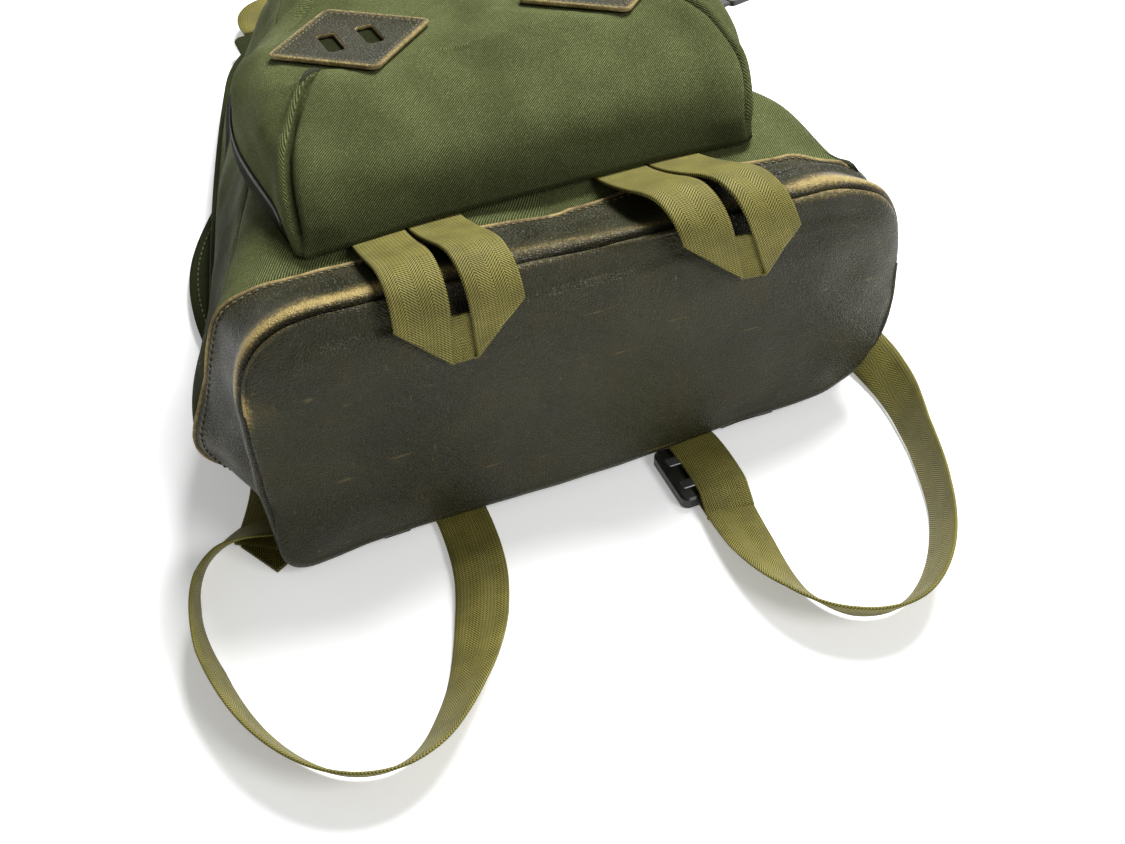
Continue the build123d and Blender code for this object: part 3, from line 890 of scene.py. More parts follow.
def make_body():
    low_tape = row_at(ZIP_LEVEL - ZIP_TAPE_WIDTH)
    rear = row_at(ZIP_LEVEL - SEAM_GAP)
    fore = row_at(ZIP_LEVEL + SEAM_GAP)
    high_tape = row_at(ZIP_LEVEL + ZIP_TAPE_WIDTH)
    fixed = {
        "back_panel": ((0, BACK_ROW), [EVERY_COLUMN], BACK_FABRIC, "back_fabric"),
        "gusset_left": ((BACK_ROW, SEAM_ROW), [LEFT_LOWER], SHELL, "shell_fabric"),
        "gusset_right": ((BACK_ROW, SEAM_ROW), [RIGHT_LOWER], SHELL, "shell_fabric"),
        "front_panel": ((SEAM_ROW, LAST_ROW), [LEFT_LOWER, RIGHT_LOWER], SHELL, "shell_fabric"),
        "crown_gusset": ((BACK_ROW, low_tape), [UPPER], SHELL, "shell_fabric"),
        "rear_zip_tape": ((low_tape, rear), [UPPER], TAPE, "zip"),
    }
    for name, (rows, parts, material, slot) in fixed.items():
        settle(body_piece(name, rows, parts, material), "pack", slot, name)
    folding = {
        "flap_panel": ((SEAM_ROW, LAST_ROW), SHELL, "shell_fabric"),
        "flap_gusset": ((high_tape, SEAM_ROW), SHELL, "shell_fabric"),
        "flap_zip_tape": ((fore, high_tape), TAPE, "zip"),
    }
    for name, (rows, material, slot) in folding.items():
        settle_folding(body_piece(name, rows, [UPPER], material), name)


# A zip's tooth: its section as (along the zip, up), and its rings as (share of its length, size)
TOOTH_SECTION = [(-0.5, -0.1), (-0.5, 0.5), (-0.2, 0.85), (0.2, 0.85), (0.5, 0.5), (0.5, -0.1)]
TOOTH_RINGS = [(-0.5, 0.7), (0.0, 1.0), (0.45, 1.0), (0.62, 0.6)]
TOOTH_HEIGHT = 1.1
COIL_SETBACK = 0.6


def zip_teeth(name, line, outward, lengthwise, tooth=1.9, pitch=1.55):
    """One side of a coil zip: a rounded tooth at every pitch along the line, across lengthwise."""
    total = lengths_along(line)[-1]
    middles = np.arange(pitch, total - pitch, pitch)
    centre = place_on(line, middles)
    share = middles / total * (len(line) - 1)
    rows = np.arange(len(line))
    up = unit(between_rows(share, rows, outward))
    across = unit(between_rows(share, rows, lengthwise))
    forward = unit(np.cross(across, up))
    points = []
    for reach, size in TOOTH_RINGS:
        for along, height in TOOTH_SECTION:
            points.append(
                centre + across * reach * tooth + forward * along * size + up * height * size * TOOTH_HEIGHT
            )
    points = np.stack(points, 1)
    faces = bar_faces(len(points), len(TOOTH_RINGS), len(TOOTH_SECTION))
    return Shape().add(points, faces).build(name, [COIL], weld=0)


def make_main_zip():
    for name, level, direction in (("rear", -SEAM_GAP, 1.0), ("flap", SEAM_GAP, -1.0)):
        row = row_at(ZIP_LEVEL + level)
        line = BODY[row, UPPER[0] : UPPER[1] + 1] - np.array([0, 0, direction * COIL_SETBACK])
        outward = BODY_NORMALS[row, UPPER[0] : UPPER[1] + 1]
        across = np.tile([0, 0, direction], (len(line), 1))
        node = name + "_zip_coil"
        piece = zip_teeth(node, line, outward, across)
        if name == "rear":
            settle(piece, "pack", "zip", node)
        else:
            settle_folding(piece, node)


def make_piping():
    """Corded piping round the seam between the back panel and the sides."""
    row = row_at(BACK_PANEL_DEPTH) + 1
    line = BODY[row, ::2]
    outward = BODY_NORMALS[row, ::2]
    forward = unit(np.gradient(line, axis=0))
    side = unit(np.cross(forward, outward))
    section = [(1.5 * cos(a), 1.7 * sin(a)) for a in np.arange(8) * pi / 4]
    shape = Shape().add(*sweep(line + outward * 0.7, side, outward, section))
    settle(shape.build("back_piping", [BACK_FABRIC]), "pack", "back_fabric", "back_piping")


make_body()
make_main_zip()
make_piping()


# ---------------------------------------------------------------- leather foot

FOOT_LEAN = 12.0  # how far the foot's back edge stands out beyond its front edge
SHOULDER_INSET = 15.0
SHOULDER_SETBACK = 2.5
FOOT_MIDDLE = 58  # level of the middle of the sole
FOOT_CORNERS = [(-159, -8), (-166, 126), (158.5, 114), (160, -5)]
FOOT_CORNER_REACH = [14, 44, 44, 58]
SIDE_STEPS = [44, 40, 96, 12, 44]
CORNER_STEPS = 16
BEAD_WIDTH = 15.0
BEAD_HEIGHT = 3.4
LEATHER_THICKNESS = 0.7  # thin where it folds back, so that its inner side stays inside
LEFT_EDGE_LIFT = 1.3  # how far the raw edge stands off the cloth
RIGHT_EDGE_LIFT = 2.2
CORE_ROWS = 9
PANEL_ROWS = 24
SHOULDER_ROWS = 9
BEAD_ROWS = 14
BAND_ROWS = 16


def foot_loop():
    """Outline of the leather foot, from the middle of its back edge round by the left side, and where its
    corners are."""
    corners = np.array(FOOT_CORNERS, float)
    start = (corners[0] + corners[3]) / 2
    after = [*corners[1:], start]
    points = []
    middles = []
    here = start
    for corner, reach, following, steps in zip(corners, FOOT_CORNER_REACH, after, SIDE_STEPS):
        into = corner + reach * unit(here - corner)
        out = corner + reach * unit(following - corner)
        points += [here + (into - here) * t for t in np.linspace(0, 1, steps, endpoint=False)]
        middles.append(len(points) + CORNER_STEPS // 2)
        for t in np.linspace(0, 1, CORNER_STEPS, endpoint=False):
            points.append((1 - t) ** 2 * into + 2 * t * (1 - t) * corner + t**2 * out)
        here = out
    points += [here + (start - here) * t for t in np.linspace(0, 1, SIDE_STEPS[-1])]
    return np.array(points), middles


def edge_line(height):
    """The body's cross-section at a height, as a loop from the middle of the back round by the left, and
    where its corners are."""
    half = int(np.ceil((height + 3 - FABRIC_FOOT) / (FLAP_HINGE - FABRIC_FOOT) * LOWER_STEPS))
    other = COLUMNS - 1 - half
    left = BODY[:, half] + BODY_NORMALS[:, half] * LEFT_EDGE_LIFT
    right = BODY[:, other] + BODY_NORMALS[:, other] * RIGHT_EDGE_LIFT
    loop = np.vstack([left, right[-2::-1]])
    loop[:, 1] = leather_top(loop[:, 0])
    count = len(left)
    left_corners = [BACK_ROW - 2, SEAM_ROW + 2]
    return loop, left_corners + [2 * count - 2 - corner for corner in left_corners[::-1]]


def matched(loop, loop_corners, target, target_corners):
    """Points of a target loop that match each point of a loop, corner to corner."""
    along = lengths_along(loop)
    target_along = lengths_along(target)
    here = [0, *along[loop_corners], along[-1]]
    there = [0, *target_along[target_corners], target_along[-1]]
    return place_on(target, np.interp(along, here, there))


def foot_plane(z):
    """Height of the foot's flat bottom at a level."""
    return -FOOT_LEAN * (1 - z / DEPTH)


def worn_places(across, level):
    """Wear along the foot's outline: of the bead, of the sole's edge beside it, and of the left corner."""
    left_ridge = (1 - smooth_step(across, -100, -48)) * smooth_step(level, 84, 98)
    right_ridge = 0.72 * smooth_step(across, 76, 128) * smooth_step(level, 60, 96)
    bead = np.clip(left_ridge + right_ridge + 0.34 * smooth_step(level, 100, 112), 0, 1)
    left_rub = 0.95 * hump(level, 86, 9) * smooth_step(-across, 120, 140)
    sole_edge = left_rub + 0.24 * smooth_step(level, 96, 108) + 0.4 * right_ridge
    return bead, sole_edge, left_rub


def leather_rows(loop, outline, outward, rim):
    """Rows of the leather, from the middle of the sole over its edge and the bead to the raw edge, with the
    wear and the painted shade of each."""
    rows, wear, soil = [], [], []

    def row(points, worn=0.0, dark=0.0):
        rows.append(points)
        wear.append(np.full(len(points), 1.0) * worn)
        soil.append(np.full(len(points), 1.0) * dark)

    across, level = loop[:, 0], loop[:, 1]
    bead_wear, edge_wear, left_rub = worn_places(across, level)
    groove = smooth_step(level, 4, 40)
    beaded = groove[:, None]
    y_up = np.array([0, 1.0, 0])
    centre = np.array([0, foot_plane(FOOT_MIDDLE), FOOT_MIDDLE])
    core = np.stack([across * 0.5, np.zeros(len(loop)), FOOT_MIDDLE + (level - FOOT_MIDDLE) * 0.2], -1)
    core[:, 1] = foot_plane(core[:, 2])
    inset_at = (5 + (SHOULDER_INSET - 5) * smooth_step(level, 8, 70))[:, None]
    panel_edge = outline - outward * inset_at
    panel_edge[:, 1] = foot_plane(panel_edge[:, 2])
    for share in np.linspace(0, 1, CORE_ROWS)[:-1]:
        row(centre + (core - centre) * share)
    for share in np.linspace(0, 1, PANEL_ROWS):
        row(core + (panel_edge - core) * share)
    for turn in np.linspace(0, pi / 2, SHOULDER_ROWS + 1)[1:]:
        inset = inset_at * (1 - sin(turn))
        back = SHOULDER_SETBACK * (1 - cos(turn))
        worn = edge_wear * smooth_step(turn, 0.75, 1.4) + 0.2 * left_rub
        row(outline - outward * inset + y_up * back, worn)
    dip = 2.2 * beaded
    # Painted shade: the crease row, the bead's foot and the band's hollow are darkened.
    crease = outline - outward * (0.6 + dip * 0.6) + y_up * (SHOULDER_SETBACK + 0.8)
    row(crease, bead_wear * 0.1, 0.7 * groove)
    row(outline - outward * (0.4 + dip) + y_up * (SHOULDER_SETBACK + 1.4), 0.0, groove)
    bead_start = SHOULDER_SETBACK + 1.8
    for share in np.linspace(0.06, 1, BEAD_ROWS):
        lift = BEAD_HEIGHT * sin(pi * share) - 1.0
        reach = BEAD_WIDTH * share**2
        ridge = 0.95 * hump(reach, 3.7, 2.9) + 0.33 * hump(reach, 8.5, 4.5)
        worn = np.clip(bead_wear * ridge, 0, 1)
        dark = 0.5 * groove * hump(reach, 0, 0.9)
        row(outline + outward * lift * beaded + y_up * (bead_start + reach), worn, dark)
    bead_back = outline + outward * (-1.0 * beaded) + y_up * (bead_start + BEAD_WIDTH)
    right_ridge = 1.9 * smooth_step(across, 50, 110)[:, None] * beaded
    for share in np.linspace(0, 1, BAND_ROWS + 1)[1:]:
        hollow = 2.2 * share * (1 - share) * beaded
        line = bead_back + (rim - bead_back) * share
        line = line + outward * (right_ridge * hump(share, 0.4, 0.17) - hollow)
        row(line, 0.06 * bead_wear * (1 - share) + 0.06 * share, 0.3 * groove * hump(share, 0.2, 0.3))
    return np.array(rows), np.array(wear), np.array(soil)


def leather_shift(grid, outline):
    """How far the leather stands out from its plain rows: the sole's swell, unevenness and creases."""
    x, y, z = grid[..., 0], grid[..., 1], grid[..., 2]
    last = len(grid) - 1
    free = 1 - smooth_step(np.arange(len(grid)), last - 5, last)[:, None] * np.ones_like(x)
    sole = smooth_step(-y, -4, 1)
    from_crease = np.clip(np.linalg.norm((grid - outline)[..., [0, 2]], axis=-1) / 40, 0, 1)
    pillow = 7.0 * (1 - (1 - from_crease) ** 2) * (0.6 + 0.4 * smooth_step(z, 20, 80))
    unevenness = 1.3 * waves(grid, 52, 11)
    unevenness = unevenness + 0.55 * waves(grid, 15, 12) * (0.35 + 0.65 * smooth_step(np.abs(x), 60, 150))
    puckers = 0.9 * waves(grid * (1.0, 0.45, 1.0), 13, 14) * smooth_step(y, 12, 20)
    creases = 0.4 * np.sin(x / 3.1 + 0.8 * np.sin(z / 9.0)) * hump(x, 118, 26) * hump(z, 12, 18)
    return sole * (pillow * hump(x, 0, 280) + creases) + free * (unevenness + puckers)


def leather_grid():
    loop, corners = foot_loop()
    edge, edge_corners = edge_line(LEATHER_HEIGHT)
    rim = matched(loop, corners, edge, edge_corners)
    outline = np.stack([loop[:, 0], foot_plane(loop[:, 1]), loop[:, 1]], -1)
    tangent = unit(np.gradient(loop, axis=0))
    outward = np.stack([-tangent[:, 1], np.zeros(len(loop)), tangent[:, 0]], -1)
    from_middle = outline - np.array([0, 0, FOOT_MIDDLE])
    outward *= np.sign((from_middle * outward).sum(-1, keepdims=True))
    grid, wear, soil = leather_rows(loop, outline, outward, rim)
    normals = grid_normals(grid)
    normals *= np.sign((normals * unit(grid - np.array([0, 60, 57]))).sum())
    flat_rows = CORE_ROWS + PANEL_ROWS - 3
    normals[:flat_rows] = unit(np.array([0, -1, FOOT_LEAN / DEPTH]))
    shift = leather_shift(grid, outline)
    shift[:flat_rows] = np.maximum(shift[:flat_rows], 0.4)
    return grid + normals * shift[..., None], normals, wear, soil


# The last grid is painted shade along the crease and the bead.
FOOT, FOOT_NORMALS, FOOT_WEAR, FOOT_PAINTED_SHADE = leather_grid()
CREASE_ROW = CORE_ROWS - 1 + PANEL_ROWS + SHOULDER_ROWS
RIM_ROW = len(FOOT) - 1


def make_foot():
    for name, rows in (("base_panel", (0, CREASE_ROW + 1)), ("base_band", (CREASE_ROW + 1, RIM_ROW))):
        part = slice(rows[0], rows[1] + 1)
        shape = Shape().add_grid(
            FOOT[part], FOOT[part][..., [0, 2]], wear=FOOT_WEAR[part], soil=FOOT_PAINTED_SHADE[part]
        )
        piece = thicken(shape.build(name, [LEATHER]), LEATHER_THICKNESS, 1, 0, outward=(0, 30, 57))
        settle(piece, "pack", "leather", name)


def make_leather_edge():
    """The leather's raw edge, and a row of stitches just inside it."""
    shown = FOOT[RIM_ROW, :, 2] > 3
    line = FOOT[RIM_ROW][shown]
    outward = FOOT_NORMALS[RIM_ROW][shown]
    forward = unit(np.gradient(line, axis=0))
    side = unit(np.cross(forward, outward))
    ragged = 0.35 * waves(line, 5, 21)[:, None]
    section = [(-0.9, -1.6), (-0.9, 0.3), (-0.4, 0.75), (0.5, 0.6), (0.95, 0.1), (0.95, -1.6)]
    shape = Shape().add(*sweep(line + side * ragged * 0.5, side, outward, section))
    seam_outward = FOOT_NORMALS[RIM_ROW - 2][shown]
    stitches(shape, FOOT[RIM_ROW - 2][shown] + seam_outward * 0.15, seam_outward, 1, pitch=3.6)
    piece = shape.build("base_edge_binding", [TAN_EDGE, OLIVE_THREAD], weld=0)
    settle(piece, "pack", "tan_edge", "base_edge_binding")


make_foot()
make_leather_edge()


# ---------------------------------------------------------------- front pocket


def pocket_face(y):
    """Level of the pocket's face at a height."""
    return POCKET_FACE_HEIGHT - POCKET_FACE_SLOPE * (y - PATCH_CENTRE)


def patch_plane(y):
    """Level of the flat places the lash patches lie on."""
    return pocket_face(y) + 1.8


CORNER_SHARE = 0.07  # share of the pocket's straight side below the end of its zip


def pocket_outline(height, inset=0.0):
    """The pocket's outline at a height above the body, from the middle of its foot round by the left."""
    radius = POCKET_RADIUS - POCKET_SIDE_LEAN * height - inset
    foot = POCKET_FOOT + POCKET_FOOT_LEAN * height + inset
    corner = max(POCKET_CORNER_RADIUS - inset * 0.4, 5)
    shares = [*np.linspace(0, CORNER_SHARE, 2)[:-1], *np.linspace(CORNER_SHARE, 1, 18)[:-1]]
    half = [(-(radius - corner) * t, foot) for t in np.linspace(0, 1, 34)[:-1]]
    for turn in np.linspace(0, pi / 2, 10)[:-1]:
        half.append((-(radius - corner) - corner * sin(turn), foot + corner * (1 - cos(turn))))
    rise = POCKET_CENTRE - foot - corner
    half += [(-radius, foot + corner + rise * t) for t in shares]
    half += [(-radius * cos(a), POCKET_CENTRE + radius * sin(a)) for a in np.linspace(0, pi / 2, 52)]
    half = np.array(half)
    return np.vstack([half, half[-2::-1] * (-1, 1)])


ZIP_COLUMN = 33 + 9 + 1
POCKET_SEAM = 33 + 4  # column of the seam at the pocket's left corner
POCKET_LIFT = POCKET_ZIP_LEVEL - DEPTH
POCKET_SIDE_ROWS = 14
POCKET_FACE_ROWS = 34


def pocket_rows():
    """Plain rows of the pocket, from the body up its side wall and over its rounded edge to the middle of
    its face."""
    columns = len(pocket_outline(0))
    top = np.full(columns, 30.0)
    for _ in range(8):
        rim = np.array([pocket_outline(h)[i] for i, h in enumerate(top)])
        top = pocket_face(rim[:, 1]) - DEPTH
    heights = [0, 4, POCKET_LIFT - SEAM_GAP, POCKET_LIFT + SEAM_GAP]
    rows = [np.column_stack([pocket_outline(h), np.full(columns, DEPTH + h)]) for h in heights]
    foot_share = 1 - smooth_step(rim[:, 1], 86, 112)
    edge_radius = POCKET_EDGE_RADIUS + (POCKET_FOOT_EDGE_RADIUS - POCKET_EDGE_RADIUS) * foot_share
    edge_radius = np.minimum(edge_radius, (top - heights[-1]) * 0.82)
    for share in np.linspace(0, 1, POCKET_SIDE_ROWS)[1:]:
        level = heights[-1] + (top - edge_radius - heights[-1]) * share
        flat = np.array([pocket_outline(h)[i] for i, h in enumerate(level)])
        rows.append(np.column_stack([flat, DEPTH + level]))
    for turn in np.linspace(0, pi / 2, 11)[1:]:
        level = top - edge_radius * (1 - sin(turn))
        inset = edge_radius * (1 - cos(turn))
        flat = np.array([pocket_outline(h, d)[i] for i, (h, d) in enumerate(zip(level, inset))])
        rising = np.minimum.accumulate(flat[: columns // 2 + 1, 1][::-1])[::-1]
        flat[:, 1] = np.concatenate([rising, rising[-2::-1]])
        rows.append(np.column_stack([flat, DEPTH + level]))
    edge = rows[-1]
    middle = np.column_stack([edge[:, 0] * 0.0, np.full(columns, POCKET_FACE_MIDDLE), np.zeros(columns)])
    for share in np.linspace(0, 1, POCKET_FACE_ROWS)[1:]:
        ring = edge + (middle - edge) * share
        ring[:, 2] = pocket_face(ring[:, 1])
        rows.append(ring)
    return np.array(rows)


def hang_pocket(grid):
    """Bring the pocket's lower corners to where they hang: in at the right, down at both sides."""
    low = 1 - smooth_step(grid[..., 1], 50, 124)
    high = 1 - 0.55 * smooth_step(grid[..., 2], 118, 158)
    grid[..., 0] -= 23 * smooth_step(grid[..., 0], 30, 115) * low * high
    grid[..., 0] += 6 * smooth_step(-grid[..., 0], 30, 115) * low * high
    grid[..., 1] -= 4.5 * smooth_step(np.abs(grid[..., 0]), 50, 116) * low


def from_corner_seam(columns):
    """Columns between each column and the nearer seam at the pocket's lower corners."""
    index = np.arange(columns)
    return np.minimum(np.abs(index - POCKET_SEAM), np.abs(index - (columns - 1 - POCKET_SEAM)))


def pocket_shift(grid, face_share):
    """How far the pocket's cloth stands out: its swell, unevenness, seams, pinches and wrinkles."""
    x, y, z = grid[..., 0], grid[..., 1], grid[..., 2]
    up_side = smooth_step(z, POCKET_ZIP_LEVEL + 1, POCKET_ZIP_LEVEL + 16)
    on_side = 1 - smooth_step(face_share, 0.0, 0.12)
    swell = 2.5 * (1 - (1 - face_share) ** 2.2) * np.ones_like(x)
    unevenness = (2.2 * waves(grid, 46, 31) + 0.8 * waves(grid, 18, 32)) * up_side
    across_seam = from_corner_seam(x.shape[1]) * 2.4
    groove = -3.4 * hump(across_seam, 0, 2.6) + 2.2 * hump(across_seam, 12, 8)
    groove = groove[None, :] * on_side * smooth_step(z, DEPTH + 1, DEPTH + 10)
    pinch = -4.0 * np.exp(-((np.hypot(np.abs(x) - 112, y - 90) / 9) ** 2)) * smooth_step(z, 150, 158)
    pinch = pinch * (x < 0) + 0.4 * pinch * (x > 0)
    wrinkle = 0.8 * np.sin((x - y * 0.5) / 3.6) * hump(x, 104, 20) * hump(y, 92, 24) * up_side
    sag = 1.0 * hump(y, 84, 20) * hump(x, 10, 70) * up_side * on_side
    return swell + unevenness + groove + pinch + wrinkle - sag


def flatten_under_patches(grid, face_share):
    """Level the face where the lash patches lie on it."""
    x, y = grid[..., 0], grid[..., 1]
    for side in (-1, 1):
        z = grid[..., 2]
        reach = np.abs(x - side * LASH_SPACING / 2) + np.abs(y - PATCH_CENTRE)
        under_patch = (1 - smooth_step(reach, 41, 58)) * (z > 135)
        level = patch_plane(y) - 0.3
        level = np.where(face_share > 0, level, np.minimum(z, level))
        grid[..., 2] = z + (level - z) * under_patch


def pocket_grid():
    grid = pocket_rows()
    hang_pocket(grid)
    normals = facing_out(grid_normals(grid), grid, (0, 150, 100))
    face_start = len(grid) - POCKET_FACE_ROWS
    normals[face_start + 1 :] = unit(np.array([0, POCKET_FACE_SLOPE, 1.0]))
    face_share = np.clip((np.arange(len(grid)) - face_start) / (POCKET_FACE_ROWS - 1), 0, 1)[:, None]
    grid = grid + normals * pocket_shift(grid, face_share)[..., None]
    flatten_under_patches(grid, face_share)
    return grid, normals


POCKET, POCKET_NORMALS = pocket_grid()


def pocket_weave():
    """Weave coordinates for the sides and for the front: across and up on the front and its foot, round
    and out on the sides."""
    x, y, z = POCKET[..., 0], POCKET[..., 1], POCKET[..., 2]
    rows, columns = x.shape
    index = np.arange(columns)
    beside = ((index > POCKET_SEAM) & (index < columns - 1 - POCKET_SEAM))[None, :]
    around = np.tile(lengths_along(POCKET[0]), (rows, 1))
    front = np.stack([x, y - 0.52 * (pocket_face(y) - z)], -1)
    side = np.where(beside[..., None], np.stack([around, z], -1), front)
    return side, front


def pocket_painted_shade():
    """Painted shade on the cloth: in the lash patches' slots, in the seams and low on the foot."""
    x, y, z = POCKET[..., 0], POCKET[..., 1], POCKET[..., 2]
    beside_slots = np.abs(np.abs(np.abs(x) - LASH_SPACING / 2) - SLOT_SPACING / 2)
    slots = (1 - smooth_step(beside_slots, 5, 8)) * (1 - smooth_step(np.abs(y - PATCH_CENTRE), 12, 15))
    seam = 0.7 * hump(from_corner_seam(x.shape[1]), 0, 0.9)[None, :] * (z < 158) * (y < 100)
    low = 0.75 * (1 - smooth_step(z, 118, 148)) * (y < 92) * (1 - smooth_step(np.abs(x), 110, 122))
    return np.maximum(np.maximum(slots * (z > 140), seam), low)


def make_pocket():
    last = POCKET.shape[1] - 1
    around = slice(ZIP_COLUMN, last - ZIP_COLUMN + 1)
    shape = Shape()
    weave, front_weave = pocket_weave()
    soil = pocket_painted_shade()
    face_start = len(POCKET) - POCKET_FACE_ROWS
    wall = slice(3, face_start + 1)
    face = slice(face_start, None)
    shape.add_grid(POCKET[wall], weave[wall], soil=soil[wall])
    shape.add_grid(POCKET[face], front_weave[face], soil=soil[face])
    for columns in (slice(0, ZIP_COLUMN + 1), slice(last - ZIP_COLUMN, last + 1)):
        foot = (slice(0, 4), columns)
        shape.add_grid(POCKET[foot], weave[foot], soil=soil[foot])
    front = shape.build("pocket_front", [SHELL, LINING])
    thicken(front, POCKET_THICKNESS, outward=(0, 150, 120))
    settle_folding(front, "pocket_front")
    gusset = Shape().add_grid(POCKET[0:3, around], weave[0:3, around])
    gusset = gusset.build("pocket_gusset", [TAPE, LINING])
    thicken(gusset, POCKET_THICKNESS, outward=(0, 150, 122))
    settle(gusset, "pack", "shell_fabric", "pocket_gusset")
    for name, row, direction in (("pocket_rear_coil", 2, 1.0), ("pocket_front_coil", 3, -1.0)):
        line = POCKET[row, around] - np.array([0, 0, direction * COIL_SETBACK])
        across = np.tile([0, 0, direction], (len(line), 1))
        piece = zip_teeth(name, line, POCKET_NORMALS[row, around], across)
        if row == 2:
            settle(piece, "pack", "zip", name)
        else:
            settle_folding(piece, name)


make_pocket()


# ---------------------------------------------------------------- lash patches and loops

PATCH_SIDE = 57
PATCH_THICKNESS = 2.4


def rounded_rectangle(width, height, radius, turn=0.0, shift=(0, 0)):
    """Outline of a rounded rectangle as a list of points."""
    points = []
    for i, (sx, sy) in enumerate(((1, 1), (-1, 1), (-1, -1), (1, -1))):
        for a in np.linspace(0, pi / 2, 6):
            angle = a + i * pi / 2
            points.append((
                sx * (width / 2 - radius) + radius * cos(angle),
                sy * (height / 2 - radius) + radius * sin(angle),
            ))
    turned = []
    for x, y in points:
        turned.append((x * cos(turn) - y * sin(turn) + shift[0], x * sin(turn) + y * cos(turn) + shift[1]))
    return turned


def plate(outlines, thickness, bevel, voxel):
    """A plate with holes, its edges rounded and its faces divided finely, lying on z = 0."""
    curve = bpy.data.curves.new("plate", "CURVE")
    curve.dimensions = "2D"
    curve.fill_mode = "BOTH"
    curve.extrude = thickness / 2 - bevel
    curve.bevel_depth = bevel
    curve.bevel_resolution = 2
    curve.offset = -bevel
    for outline in outlines:
        spline = curve.splines.new("POLY")
        spline.points.add(len(outline) - 1)
        for knot, (x, y) in zip(spline.points, outline):
            knot.co = (x, y, 0, 1)
        spline.use_cyclic_u = True
    solid = link(bpy.data.objects.new("plate", curve_mesh(curve)))
    divide = solid.modifiers.new("divide", "REMESH")
    divide.mode = "VOXEL"
    divide.voxel_size = voxel
    apply_modifiers(solid)
    points = np.array([v.co for v in solid.data.vertices], float) + np.array([0, 0, thickness / 2])
    faces = [list(f.vertices) for f in solid.data.polygons]
    steep = np.array([abs(f.normal.z) < 0.75 for f in solid.data.polygons])
    bpy.data.objects.remove(solid)
    return points, faces, steep


def make_patch(name, side):
    slots = [
        rounded_rectangle(SLOT_WIDTH, SLOT_LENGTH, 2, 0, (shift * SLOT_SPACING / 2, 0)) for shift in (-1, 1)
    ]
    diamond = rounded_rectangle(PATCH_SIDE, PATCH_SIDE, 4, pi / 4)
    points, faces, steep = plate([diamond, *slots], PATCH_THICKNESS, bevel=0.6, voxel=0.8)
    x = points[:, 0] + side * LASH_SPACING / 2
    y = points[:, 1] + PATCH_CENTRE
    curl = 0.8 * smooth_step(np.abs(points[:, 0]) + np.abs(points[:, 1]), 30, 40)
    placed = np.column_stack([x, y, patch_plane(y) + points[:, 2] + curl])
    edge = smooth_step(np.abs(points[:, 0]) + np.abs(points[:, 1]), 34.5, 40) * 0.55
    wear = edge + 0.08
    shape = Shape().add(placed, [f for f, s in zip(faces, steep) if not s], None, 0, wear=wear)
    shape.add(placed, [f for f, s in zip(faces, steep) if s], None, 1, wear=wear)
    inner = np.array(rounded_rectangle(PATCH_SIDE - 8, PATCH_SIDE - 8, 3, pi / 4))
    inner = np.vstack([inner, inner[:1]])
    seam = place_on(inner, np.linspace(0, lengths_along(inner)[-1], 120))
    seam += np.array([side * LASH_SPACING / 2, PATCH_CENTRE])
    line = np.column_stack([seam, patch_plane(seam[:, 1]) + PATCH_THICKNESS])
    stitches(shape, line, np.tile([0, POCKET_FACE_SLOPE, 1.0], (len(line), 1)), 2, pitch=3.2)
    piece = shape.build(name, [LEATHER, TAN_EDGE, OLIVE_THREAD])
    settle(piece, "pocket", "leather", name)


LOOP_DRAPE = [
    (60, 115), (50, 117.5), (40, 121), (28, 126), (17, 131), (7, 133.5), (-3, 131), (-9.5, 124),
    (-12.2, 114), (-13, 102), (-14.4, 90), (-16, 78), (-17.4, 66), (-18.6, 54),
]
LOOP_LENGTH = 108.0
FOLD_RADIUS = 1.1


def folded_strip(total, opening):
    """Half of a strip folded under at 45 degrees: down its leg, then across to the middle. Gives its two
    faces as (across, down, outward) and its weave coordinates."""
    half_gap = opening / 2
    fold_sum = total + half_gap
    along = np.linspace(0, fold_sum + pi * FOLD_RADIUS, int(fold_sum / 1.2))
    w, down = np.meshgrid(np.linspace(-WEBBING_WIDTH / 2, WEBBING_WIDTH / 2, 20), along)
    faces = []
    for face in (0.5, -0.5):
        u, v = w - half_gap - WEBBING_WIDTH / 2, down
        beyond = np.maximum((v - u - fold_sum) / sqrt(2), 0)
        bend = np.clip(beyond / FOLD_RADIUS, 0, pi)
        swing = FOLD_RADIUS * np.sin(bend) - np.maximum(beyond - pi * FOLD_RADIUS, 0)
        spread = WEBBING_THICKNESS * 0.85 * face
        shift = (beyond - swing - spread * np.sin(bend)) / sqrt(2)
        layer = spread * np.cos(bend) - FOLD_RADIUS * (1 - np.cos(bend))
        faces.append(np.stack([u + shift, v - shift, layer], -1))
    return faces, np.stack([w, down], -1)


